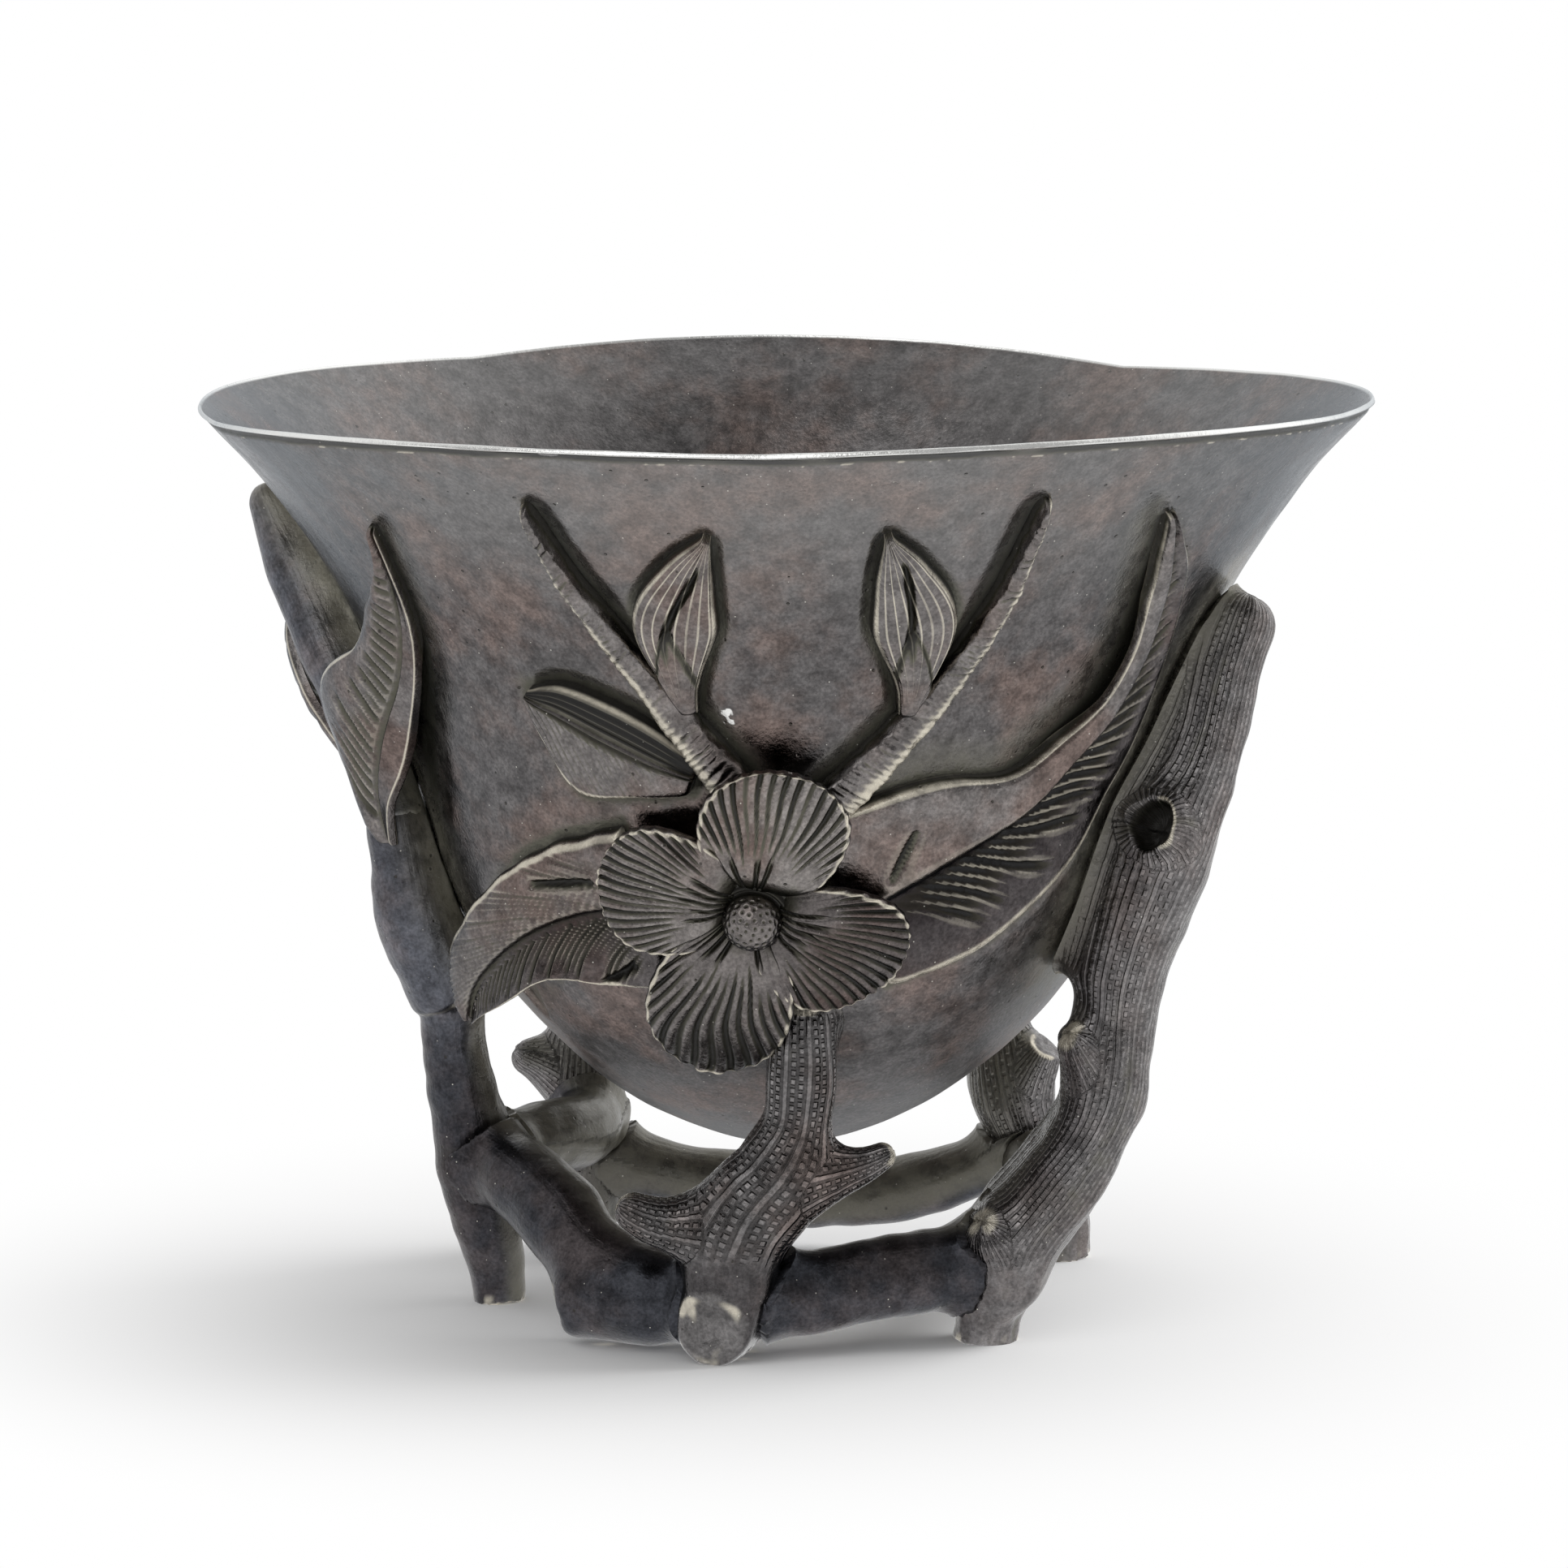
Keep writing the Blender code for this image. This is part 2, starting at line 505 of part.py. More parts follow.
def wall_offset(outline, depth):
    """Outline moved inwards by a depth for each point, square to the wall."""
    slope = np.gradient(outline, axis=0)
    inward = np.stack([-slope[:, 1], slope[:, 0]], axis=1)
    inward /= np.linalg.norm(inward, axis=1, keepdims=True)
    moved = outline + inward * depth[:, None]
    moved[0, 0] = 0.0
    return moved


def shape_lobes(solid):
    """Carry the lobes of the mouth into a turned solid."""
    for vertex in solid.data.vertices:
        radius = math.hypot(vertex.co.x, vertex.co.y)
        azimuth = math.degrees(math.atan2(vertex.co.x, -vertex.co.y))
        vertex.co = lobed(azimuth, radius, vertex.co.z)


def build_bowl():
    """Thin bowl with a rounded lip, open at the top."""
    share = np.linspace(0.0, 1.0, len(PROFILE))
    depth = WALL_THICKNESS + (LIP_THICKNESS - WALL_THICKNESS) * share**2
    inner = wall_offset(PROFILE, depth)
    lip = (inner[-1] + PROFILE[-1]) / 2.0
    lip[1] += LIP_CROWN
    bowl = turned("bowl", np.vstack([inner, lip, PROFILE[::-1]]), BOWL_SIDES)
    shape_lobes(bowl)
    finish(bowl, WALL_BRONZE)
    return bowl


def build_bowl_cutter():
    """Solid of the bowl grown by the clearance, which seats the branches on the wall."""
    grown = wall_offset(PROFILE, np.full(len(PROFILE), -CLEAR))
    cutter = turned("bowl_seat", np.vstack([[(0.0, grown[-1][1])], grown[::-1]]), BOWL_SIDES)
    shape_lobes(cutter)
    return make_cutter(cutter)


def laid_piece(name, rows, edge, crown, ridges, along, across, grow=0.0):
    """Closed piece laid along the wall, with one or two swellings between its edges.

    Across the piece the thickness runs from the edge value up by the crown at each ridge. The
    piece grows by a clearance on every side where a neighbour is to be fitted round it.
    """

    def station(share):
        row = flow(rows, share)
        return row, on_wall(row[0], row[1])

    def place(share, side, top):
        row, centre = station(share)
        nearby = 0.01
        heading = station(min(share + nearby, 1.0))[1] - station(max(share - nearby, 0.0))[1]
        heading.normalize()
        sideways = wall_normal(row[0], row[1]).cross(heading).normalized()
        half_width = row[2] if side > 0.0 else row[3]
        stand = row[5] + (row[4] - row[5]) * (side + 1.0) / 2.0
        spot = centre + sideways * side * (half_width + grow)
        spot += heading * grow * (2.0 * share - 1.0) * (share in (0.0, 1.0))
        azimuth = math.degrees(math.atan2(spot.x, -spot.y))
        normal = wall_normal(azimuth, spot.z)
        base = on_wall(azimuth, spot.z) + at(azimuth, stand, 0.0)
        if not top:
            return base - normal * grow
        widest = max(max(r[2], r[3]) for r in rows)
        fullness = min(1.0, (row[2] + row[3]) / widest)
        swell = 1.0 - side**2 if ridges == 1 else 1.0 - (2.0 * abs(side) - 1.0) ** 2
        return base + normal * (edge + crown * swell * fullness + grow)

    bm = bmesh.new()
    bmesh.ops.create_grid(bm, x_segments=along, y_segments=across, size=1.0)
    under = bm.verts[:]
    lifted = bmesh.ops.extrude_face_region(bm, geom=bm.faces[:], use_keep_orig=True)["geom"]
    over = [item for item in lifted if isinstance(item, bmesh.types.BMVert)]
    for top, verts in ((True, over), (False, under)):
        for vert in verts:
            share = round((vert.co.x + 1.0) / 2.0, 6)
            vert.co = place(share, vert.co.y, top)
    bmesh.ops.recalc_face_normals(bm, faces=bm.faces[:])
    mesh = bpy.data.meshes.new(name)
    bm.to_mesh(mesh)
    bm.free()
    piece = bpy.data.objects.new(name, mesh)
    CUP.objects.link(piece)
    return piece


def twig(name, rows, grow=0.0):
    """Round-backed twig laid on the wall."""
    return laid_piece(name, rows, TWIG_EDGE, TWIG_CROWN, 1, 10, 4, grow)


def bud(name, rows, grow=0.0):
    """Pointed bud of two sepals with a cleft between them."""
    return laid_piece(name, rows, BUD_EDGE, BUD_CROWN, 2, 9, 6, grow)


def leaf(name, rows, grow=0.0):
    """Leaf of two swelling halves with a sunken midrib."""
    return laid_piece(name, rows, LEAF_EDGE, LEAF_CROWN, 2, 12, 6, grow)


def petal_rows(turn, rise, half_width):
    """Midline of a petal, from the edge of the stamen dome to the rounded tip."""
    centre = on_wall(BLOSSOM_AZIMUTH, BLOSSOM_HEIGHT)
    length = (on_wall(BLOSSOM_AZIMUTH + turn, BLOSSOM_HEIGHT + rise) - centre).length
    start = (STAMEN_RADIUS + CLEAR) / length
    rows = []
    for share in np.linspace(0.0, 1.0, PETAL_STATIONS):
        along = start + (1.0 - start) * share
        azimuth = BLOSSOM_AZIMUTH + turn * along
        height = BLOSSOM_HEIGHT + rise * along
        arc = PETAL_INNER_ARC if share < PETAL_WIDEST else PETAL_OUTER_ARC
        width = half_width * math.sqrt(1.0 - ((share - PETAL_WIDEST) / arc) ** 2)
        stand = PETAL_STAND + PETAL_LIFT * math.sin(math.pi * share)
        rows.append((azimuth, height, width, width, stand, stand))
    return rows


def petal(name, turn, rise, half_width, grow=0.0):
    """Broad petal with a rounded end, swelling on both sides of its middle."""
    rows = petal_rows(turn, rise, half_width)
    return laid_piece(name, rows, PETAL_THICKNESS, PETAL_SWELL, 2, 10, 8, grow)


def stand_on_blossom(piece):
    """Turn a piece that is built along Z to stand on the wall at the blossom's centre."""
    normal = wall_normal(BLOSSOM_AZIMUTH, BLOSSOM_HEIGHT)
    piece.rotation_mode = "QUATERNION"
    piece.rotation_quaternion = normal.to_track_quat("Z", "Y")
    piece.location = on_wall(BLOSSOM_AZIMUTH, BLOSSOM_HEIGHT)


def build_blossom(bowl_seat, petal_seats):
    """Boss on the wall, four petals that rest on it, and the stamen dome between them."""
    boss_top = PETAL_STAND - CLEAR
    boss = turned("blossom_boss", [
        (0.0, boss_top), (BOSS_RADIUS, boss_top), (BOSS_RADIUS, -BOSS_RADIUS), (0.0, -BOSS_RADIUS)],
        BLOSSOM_SIDES)
    stand_on_blossom(boss)
    fit_round(boss, [bowl_seat] + gather(petal_seats, PETALS))
    arc = [(math.cos(a) * STAMEN_RADIUS, PETAL_STAND + math.sin(a) * STAMEN_HEIGHT)
           for a in np.radians((90.0, 70.0, 50.0, 30.0, 12.0, 0.0))]
    arc[0] = (0.0, arc[0][1])
    dome = turned("stamen_dome", arc + [(0.0, PETAL_STAND)], BLOSSOM_SIDES)
    stand_on_blossom(dome)
    for piece in (boss, dome):
        finish(piece, BLOSSOM_BRONZE)
    dome_seat = make_cutter(turned("stamen_seat", [
        (0.0, PETAL_STAND + STAMEN_HEIGHT), (STAMEN_RADIUS + CLEAR, PETAL_STAND + STAMEN_HEIGHT),
        (STAMEN_RADIUS + CLEAR, 0.0), (0.0, 0.0)], BLOSSOM_SIDES))
    stand_on_blossom(dome_seat)
    earlier = []
    for name, sizes in PETALS.items():
        piece = petal(name, *sizes)
        fit_round(piece, [dome_seat] + gather(petal_seats, earlier))
        finish(piece, BLOSSOM_BRONZE)
        earlier.append(name)


def up_wall(climb):
    """Stations of a climb, with the reach from the bowl's axis in place of the distance from the wall."""
    return tuple((azimuth, wall_radius(height) + out, height, radius)
                 for azimuth, out, height, radius in climb)


def branch(name, rows, grow=0.0):
    """Gnarled branch: a tube of changing thickness along a smooth centre line, with flat ends."""
    stations = np.array([(*at(*row[:3]), row[3] + grow) for row in rows])
    length = np.linalg.norm(np.diff(stations[:, :3], axis=0), axis=1).sum()
    steps = max(2, round(length / BRANCH_SPACING))
    line = [flow(stations, step / steps) for step in range(steps + 1)]
    curve = bpy.data.curves.new(name, "CURVE")
    curve.dimensions = "3D"
    curve.bevel_depth = 1.0
    curve.bevel_resolution = 3
    curve.use_fill_caps = True
    spline = curve.splines.new("POLY")
    spline.points.add(len(line) - 1)
    for point, (x, y, z, radius) in zip(spline.points, line):
        point.co = (x, y, z, 1.0)
        point.radius = radius
    tube = bpy.data.objects.new(name, curve)
    CUP.objects.link(tube)
    return as_solid(tube)


def build_branch(name, rows, side_branches, cutters):
    """Branch with its sawn-off side branches, fitted round its neighbours and sawn at the floor."""
    piece = branch(name, rows)
    for index, side_rows in enumerate(side_branches):
        stub = make_cutter(branch(f"{name}_side_{index}", side_rows))
        combine(piece, stub, "UNION")
    fit_round(piece, cutters)
    finish(piece, BARK_BRONZE)
    return piece


def build_floor_cutter():
    """Block under the floor that saws the feet flat."""
    bpy.ops.mesh.primitive_cube_add(size=1.0)
    block = bpy.context.object
    block.name = "floor_saw"
    for group in list(block.users_collection):
        group.objects.unlink(block)
    CUP.objects.link(block)
    block.scale = (4.0 * MOUTH_RADIUS, 4.0 * MOUTH_RADIUS, 4.0 * FOOT_DEPTH)
    block.location = (0.0, 0.0, -2.0 * FOOT_DEPTH)
    return make_cutter(block)


def seat(maker, name, *shape):
    """Grown copy of a piece, to fit a neighbour round it."""
    return make_cutter(maker(name + "_seat", *shape, grow=CLEAR))


def branch_seats(name, rows, side_branches):
    """Grown copies of a branch and of its side branches."""
    return [seat(branch, name, part) for part in (rows, *side_branches)]


def gather(seats, names):
    """Seats of the named pieces, in one list."""
    return [cutter for name in names for cutter in seats[name]]


def build_sprays():
    """Twigs first, then the buds and leaves that spring from them."""
    twigs = {"left_twig": LEFT_TWIG, "right_twig": RIGHT_TWIG, "back_twig": BACK_TWIG}
    seats = {}
    for name, rows in twigs.items():
        finish(twig(name, rows), BARK_BRONZE)
        seats[name] = [seat(twig, name, rows)]
    leaves = (
        ("right_leaf", RIGHT_LEAF, ("right_twig",)),
        ("left_leaf", LEFT_LEAF, ()),
        ("side_leaf", SIDE_LEAF, ()),
        ("far_leaf", FAR_LEAF, ()),
        ("back_right_leaf", BACK_RIGHT_LEAF, ()),
        ("back_left_leaf", BACK_LEFT_LEAF, ()),
    )
    for name, rows, neighbours in leaves:
        piece = leaf(name, rows)
        fit_round(piece, gather(seats, neighbours))
        finish(piece, LEAF_BRONZE)
        seats[name] = [seat(leaf, name, rows)]
    buds = (
        ("side_bud", SIDE_BUD, ("left_twig", "left_leaf")),
        ("upper_left_bud", UPPER_LEFT_BUD, ("left_twig",)),
        ("upper_right_bud", UPPER_RIGHT_BUD, ("right_twig",)),
        ("back_bud", BACK_BUD, ("back_twig",)),
    )
    for name, rows, neighbours in buds:
        piece = bud(name, rows)
        fit_round(piece, gather(seats, neighbours))
        finish(piece, LEAF_BRONZE)
    return seats


def build_stand(bowl_seat, seats):
    """Five trunks that carry the bowl, the bough on the left, and the ring of logs between them."""
    floor = build_floor_cutter()
    trunks = (
        ("left_trunk", LEFT_TRUNK_ROOT + up_wall(LEFT_TRUNK_CLIMB), LEFT_TRUNK_STUBS,
         ("left_leaf", "side_leaf")),
        ("right_trunk", RIGHT_TRUNK_ROOT + up_wall(RIGHT_TRUNK_CLIMB),
         (*RIGHT_TRUNK_STUBS, up_wall(RIGHT_LEDGE_CLIMB), RIGHT_BRACE), ("right_leaf",)),
        ("front_stem", up_wall(FRONT_STEM_CLIMB) + FRONT_STEM_ROOT, (*FRONT_STEM_STUBS, FRONT_FOOT),
         ("petal_bottom", "petal_right")),
        ("back_right_trunk", BACK_RIGHT_TRUNK_ROOT + up_wall(BACK_RIGHT_TRUNK_CLIMB),
         BACK_RIGHT_TRUNK_STUBS, ("back_right_leaf", "back_twig")),
        ("back_left_trunk", BACK_LEFT_TRUNK_ROOT + up_wall(BACK_LEFT_TRUNK_CLIMB),
         BACK_LEFT_TRUNK_STUBS, ("back_left_leaf",)),
    )
    for name, rows, stubs, neighbours in trunks:
        build_branch(name, rows, stubs, [bowl_seat, floor] + gather(seats, neighbours))
        seats[name] = branch_seats(name, rows, stubs)
    logs = (
        ("left_bough", up_wall(LEFT_BOUGH_CLIMB), (), ("left_trunk", "side_leaf", "far_leaf")),
        ("front_left_log", FRONT_LEFT_LOG, FRONT_LEFT_LOG_STUBS, ("left_trunk", "front_stem")),
        ("front_right_log", FRONT_RIGHT_LOG, (), ("right_trunk", "front_stem", "front_left_log")),
        ("right_back_log", RIGHT_BACK_LOG, (), ("right_trunk", "back_right_trunk", "front_right_log")),
        ("back_log", BACK_LOG, (), ("back_right_trunk", "back_left_trunk", "right_back_log")),
        ("left_back_log", LEFT_BACK_LOG, (), ("back_left_trunk", "left_trunk", "back_log", "front_left_log")),
    )
    for name, rows, stubs, neighbours in logs:
        build_branch(name, rows, stubs, [bowl_seat, floor] + gather(seats, neighbours))
        seats[name] = branch_seats(name, rows, stubs)


clear_scene()
CUP = new_collection("bronze_cup")
CUTTERS = new_collection("cutters")
build_bowl()
BOWL_SEAT = build_bowl_cutter()
PETAL_SEATS = {name: [seat(petal, name, *sizes)] for name, sizes in PETALS.items()}
build_blossom(BOWL_SEAT, PETAL_SEATS)
build_stand(BOWL_SEAT, {**PETAL_SEATS, **build_sprays()})
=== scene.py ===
"""Looks of the bronze cup: a dark patinated bowl in a stand of gnarled branches, with blossom and leaves.

Shapes are worked out in millimetres and degrees, and meshes are written in metres, in the frame of the
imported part. An azimuth is measured from the front of the cup (-Y), positive towards +X.
"""

import math
from collections import namedtuple

import bpy
import numpy as np
from bpy.props import FloatProperty, FloatVectorProperty, IntProperty, PointerProperty
from bpy.types import Operator, Panel, PropertyGroup
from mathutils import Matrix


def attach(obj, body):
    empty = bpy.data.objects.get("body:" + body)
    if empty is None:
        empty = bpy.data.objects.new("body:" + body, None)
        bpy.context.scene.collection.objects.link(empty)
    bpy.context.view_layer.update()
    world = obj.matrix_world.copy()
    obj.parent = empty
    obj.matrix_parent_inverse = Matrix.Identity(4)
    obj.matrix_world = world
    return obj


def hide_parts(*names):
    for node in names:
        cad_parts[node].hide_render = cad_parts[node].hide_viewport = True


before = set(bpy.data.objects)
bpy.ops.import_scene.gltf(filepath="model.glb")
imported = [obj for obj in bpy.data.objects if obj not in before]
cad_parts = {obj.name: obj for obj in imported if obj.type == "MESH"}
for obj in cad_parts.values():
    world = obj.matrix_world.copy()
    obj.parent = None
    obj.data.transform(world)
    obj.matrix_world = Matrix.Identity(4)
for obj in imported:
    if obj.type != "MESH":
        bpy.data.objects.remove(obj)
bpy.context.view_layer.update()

bl_info = {
    "name": "Bronze cup looks",
    "version": (1, 0, 0),
    "blender": (4, 5, 0),
    "location": "3D View > Sidebar > Cup",
    "description": "Chased and patinated surfaces of a bronze cup on an openwork stand of branches",
    "category": "Object",
}

MM = 0.001

# Bowl: radius and height of the outer wall at each level, from a mirrored level below the axis up
WALL_LEVELS = (
    (-11.0, 16.2), (0.0, 12.8), (11.0, 16.2), (20.4, 23.9), (26.6, 33.5),
    (30.0, 44.5), (34.0, 55.5), (40.0, 64.8), (45.5, 70.6),
)
RIM_HEIGHT = 70.6
# The rim is drawn in by this much, which leaves room for its dents
RIM_TRIM = 0.15
TRIM_START = 60.0
# Thickness of the wall at the bottom and below the lip, and how much thinner it is at the lip itself
BOTTOM_WALL = 2.2
TOP_WALL = 0.65
LIP_TAPER = 0.3
LIP_CROWN = 0.16
# Dark line below the lip, of grime and painted shade, and flecks of bare metal below the lip, and white
# residue on the wall at an azimuth and height
DARK_LINE = 0.24
FLECK_LINE = 0.48
RESIDUE_PLACE = (-7.9, 51.0)
LOBE_START = 55.5
LOBE_BULGE = 0.8
# Lobes of the mouth: azimuth of the seam that starts the lobe, rim lift at the seam and at the crest
LOBES = np.array((
    (-145.0, 0.5, 0.7),
    (-75.0, 0.2, 1.25),
    (-2.0, 1.2, 1.8),
    (70.0, 1.2, 0.85),
    (142.0, -0.1, 1.45),
))

# Laid pieces. A row is a station on the midline: azimuth, height, half width to the left and to the
# right of the direction of growth, and stand-off from the wall at those two edges.
TWIGS = {
    "left_twig": (
        (-4.0, 42.8, 1.7, 1.7, 0, 0), (-8.5, 46.3, 1.7, 1.7, 0, 0), (-13.0, 49.9, 1.5, 1.5, 0, 0),
        (-19.0, 54.9, 1.2, 1.3, 0, 0), (-25.0, 61.0, 0.8, 0.9, 0, 0), (-27.2, 66.2, 0.3, 0.3, 0, 0)),
    "right_twig": (
        (2.6, 42.4, 1.6, 1.6, 0, 0), (9.0, 45.6, 1.6, 1.7, 0, 0), (16.3, 50.0, 1.4, 1.4, 0, 0),
        (22.0, 54.6, 1.2, 1.1, 0, 0), (26.0, 60.2, 0.9, 0.8, 0, 0), (27.0, 66.2, 0.3, 0.3, 0, 0)),
    "back_twig": (
        (145.0, 42.0, 1.5, 1.5, 0, 0), (152.0, 48.5, 1.3, 1.3, 0, 0), (157.0, 55.5, 1.1, 1.1, 0, 0),
        (160.0, 63.0, 0.4, 0.4, 0, 0)),
}
BUDS = {
    "side_bud": (
        (-12.5, 46.4, 1.4, 1.2, 0, 0), (-18.5, 47.5, 3.3, 2.6, 0, 0), (-25.5, 49.3, 5.6, 3.0, 0, 0),
        (-32.0, 51.2, 3.1, 2.3, 0, 0), (-36.5, 52.2, 0.3, 0.3, 0, 0)),
    "upper_left_bud": (
        (-12.4, 51.6, 0.6, 0.6, 0, 0), (-13.2, 54.2, 1.6, 1.5, 0, 0), (-13.2, 58.4, 3.3, 3.3, 0, 0),
        (-10.8, 62.0, 2.1, 2.1, 0, 0), (-8.2, 64.6, 0.3, 0.3, 0, 0)),
    "upper_right_bud": (
        (15.8, 51.4, 0.6, 0.6, 0, 0), (16.2, 54.2, 1.5, 1.6, 0, 0), (15.5, 58.4, 3.3, 3.3, 0, 0),
        (12.8, 62.1, 2.1, 2.1, 0, 0), (10.7, 64.5, 0.3, 0.3, 0, 0)),
    "back_bud": (
        (160.0, 54.6, 0.9, 0.9, 0, 0), (163.5, 56.2, 2.5, 2.5, 0, 0), (168.0, 58.6, 2.8, 2.8, 0, 0),
        (173.5, 61.6, 0.3, 0.3, 0, 0)),
}
LEAVES = {
    "right_leaf": (
        (9.5, 35.0, 9.4, 7.4, 0, 0), (26.2, 39.7, 7.1, 8.9, 0, 0), (36.9, 42.9, 4.0, 8.0, 0, 0),
        (43.8, 46.8, 2.5, 7.0, 0.2, 0), (49.4, 50.4, 1.9, 5.6, 0.5, 0), (51.8, 55.0, 1.8, 4.2, 0.6, 0),
        (50.2, 59.6, 1.6, 2.6, 0.3, 0), (47.6, 62.4, 1.0, 1.4, 0.1, 0), (44.6, 64.8, 0.3, 0.3, 0, 0)),
    "left_leaf": (
        (-22.0, 35.3, 6.6, 7.4, 0, 0), (-34.9, 34.0, 5.4, 6.8, 0.6, 0), (-45.2, 31.9, 3.2, 5.8, 2.4, 1.0),
        (-55.5, 28.2, 2.3, 4.2, 4.8, 3.6), (-61.0, 25.0, 0.5, 0.5, 6.6, 6.0)),
    "side_leaf": (
        (-73.0, 38.0, 0.6, 0.6, 4.0, 3.6), (-72.0, 42.3, 4.6, 1.5, 4.4, 2.8),
        (-66.0, 46.8, 6.9, 1.5, 4.8, 1.2), (-59.0, 52.0, 4.8, 1.3, 2.7, 0.7), (-55.5, 56.9, 3.3, 0.9, 1.1, 0),
        (-53.0, 61.0, 1.1, 0.6, 0.2, 0), (-51.0, 64.0, 0.3, 0.3, 0, 0)),
    "far_leaf": (
        (-88.0, 43.6, 0.6, 0.6, 4.0, 4.4), (-93.0, 47.5, 2.0, 2.4, 5.4, 5.8),
        (-96.5, 51.8, 2.2, 2.6, 5.6, 6.0), (-98.0, 55.4, 1.2, 1.6, 4.4, 4.8),
        (-98.5, 58.0, 0.3, 0.3, 3.2, 3.6)),
    "back_right_leaf": (
        (137.0, 39.5, 1.4, 1.4, 0, 0), (128.0, 43.5, 4.2, 4.4, 0, 0.5), (118.0, 48.8, 4.6, 4.6, 0, 0.9),
        (109.5, 55.0, 2.6, 2.6, 0, 0.5), (104.5, 60.5, 0.3, 0.3, 0, 0)),
    "back_left_leaf": (
        (-146.0, 37.5, 1.4, 1.4, 0, 0), (-150.5, 43.0, 4.0, 4.2, 0, 0), (-157.0, 49.0, 4.4, 4.4, 0.6, 0),
        (-164.5, 55.0, 2.6, 2.6, 0.5, 0), (-170.5, 60.5, 0.3, 0.3, 0, 0)),
}

# Ground chased down beside each laid piece: depth and reach to its left, depth and reach to its right
MOATS = {
    "left_twig": (0.08, 0.5, 0.6, 2.2),
    "right_twig": (0.6, 2.2, 0.08, 0.5),
    "back_twig": (0.4, 1.5, 0.4, 1.5),
    "side_bud": (0.5, 1.2, 0.55, 1.8),
    "upper_left_bud": (0.4, 1.2, 0.4, 1.2),
    "upper_right_bud": (0.4, 1.2, 0.4, 1.2),
    "back_bud": (0.4, 1.3, 0.4, 1.3),
    "right_leaf": (0.5, 5.0, 0.5, 0.9),
    "left_leaf": (0.12, 0.7, 0.35, 1.3),
    "side_leaf": (0.08, 0.7, 0.3, 3.8),
    "far_leaf": (0.08, 0.7, 0.08, 0.7),
    "back_right_leaf": (0.25, 1.3, 0.45, 3.0),
    "back_left_leaf": (0.45, 3.0, 0.25, 1.3),
}
# A point of the wall belongs to the ground of a laid piece within this distance of its midline
NEAR_SIDE = 16.0
FAR_OFF = 99.0
# Thickness of a laid piece where it hangs clear of the wall, and how far it goes down below its ground
THIN_LEAF = 0.8
SINK = 0.15
# Rings along a laid piece and points round each ring
TWIG_GRID = (200, 44)
BUD_GRID = (150, 100)
LEAF_GRID = (230, 104)
PETAL_GRID = (160, 150)
# A crest is worn in full where it stands out by this much from the surface blurred this many times
CREST_HEIGHT = 0.05
BLUR_PASSES = 5

# Relief of a leaf, in millimetres above the wall. The rib lies at a place from -1 (right margin) to 1
# (left margin). Each half has a height beside the rib and at its margin, a swelling between them, a
# raised rim and a depth of vein. Veins have a pitch, a forward slant and a reach across the half.
LeafForm = namedtuple("LeafForm", "rib groove left right pitch slant reach")
LeafHalf = namedtuple("LeafHalf", "root margin swell rim vein")
# Painted highlight in the worn colour on the ridges between the veins, for each millimetre of their depth
LIT_VEINS = 0.3
# Leaves that are darker as a whole
LEAF_SHADES = {"left_leaf": 0.2, "side_leaf": 0.12}
FAR_HALF = LeafHalf(0.7, 0.6, 0.4, 0.1, 0.15)
BACK_HALF = LeafHalf(0.7, 0.8, 0.5, 0.1, 0.22)
LEAF_FORMS = {
    "right_leaf": LeafForm(0.0, 0.12, LeafHalf(1.25, 0.85, 0.12, 0.1, 0.0),
                           LeafHalf(0.1, 0.95, -0.1, 0.1, 0.5), 1.3, 1.35, 0.66),
    "left_leaf": LeafForm(-0.1, 0.3, LeafHalf(0.25, 1.0, -0.05, 0.1, 0.32),
                          LeafHalf(0.9, 0.8, 0.45, 0.06, 0.16), 0.85, 2.4, 0.85),
    "side_leaf": LeafForm(0.0, 0.35, LeafHalf(0.5, 0.6, 0.6, 0.05, 0.3),
                          LeafHalf(0.35, 1.0, -0.1, 0.12, 0.0), 1.15, 1.0, 0.62),
    "far_leaf": LeafForm(0.0, 0.3, FAR_HALF, FAR_HALF, 1.2, 0.9, 0.7),
    "back_right_leaf": LeafForm(0.0, 0.35, BACK_HALF, BACK_HALF, 1.3, 1.3, 0.7),
    "back_left_leaf": LeafForm(0.0, 0.35, BACK_HALF, BACK_HALF, 1.3, 1.3, 0.7),
}
# Slots cut into the leaves beside the blossom: half width, and azimuth and height of both ends
SLOT_WIDTH = 0.28
LEAF_SLOTS = {
    "right_leaf": (((15.9, 38.5), (18.9, 42.1)),),
    "left_leaf": (((-40.9, 37.2), (-30.5, 37.8)), ((-34.4, 29.0), (-26.4, 31.0))),
}

# Blossom: centre, petals (azimuth and height of the tip from the centre, half width) and stamen dome
BLOSSOM_AZIMUTH = -4.7
BLOSSOM_HEIGHT = 36.3
PETALS = {
    "petal_top": (5.3, 11.1, 5.2),
    "petal_left": (-21.7, 2.6, 5.3),
    "petal_bottom": (-10.1, -13.1, 5.0),
    "petal_right": (20.6, -5.3, 5.5),
}
# How dark the petals are that are turned away from the light, and the stamen dome
PETAL_SHADES = {"petal_right": 0.58, "petal_bottom": 0.42, "petal_left": 0.18}
DOME_SHADE = 0.3
PETAL_STAND = 2.9
PETAL_DROOP = 0.8
PETAL_WIDEST = 0.58
PETAL_INNER_ARC = 0.64
STAMEN_RADIUS = 2.8
STAMEN_STAND = 2.4
STAMEN_HEIGHT = 2.7
STAMEN_PITS = 70
GOLDEN_ANGLE = 137.508
BOSS_RADIUS = 4.4

# Branches. A row is a station on the centre line: azimuth, reach from the bowl's axis, height and
# radius. The rows of a climb give the distance out from the bowl's wall in place of the reach.
Branch = namedtuple("Branch", "line sides anchors bark")
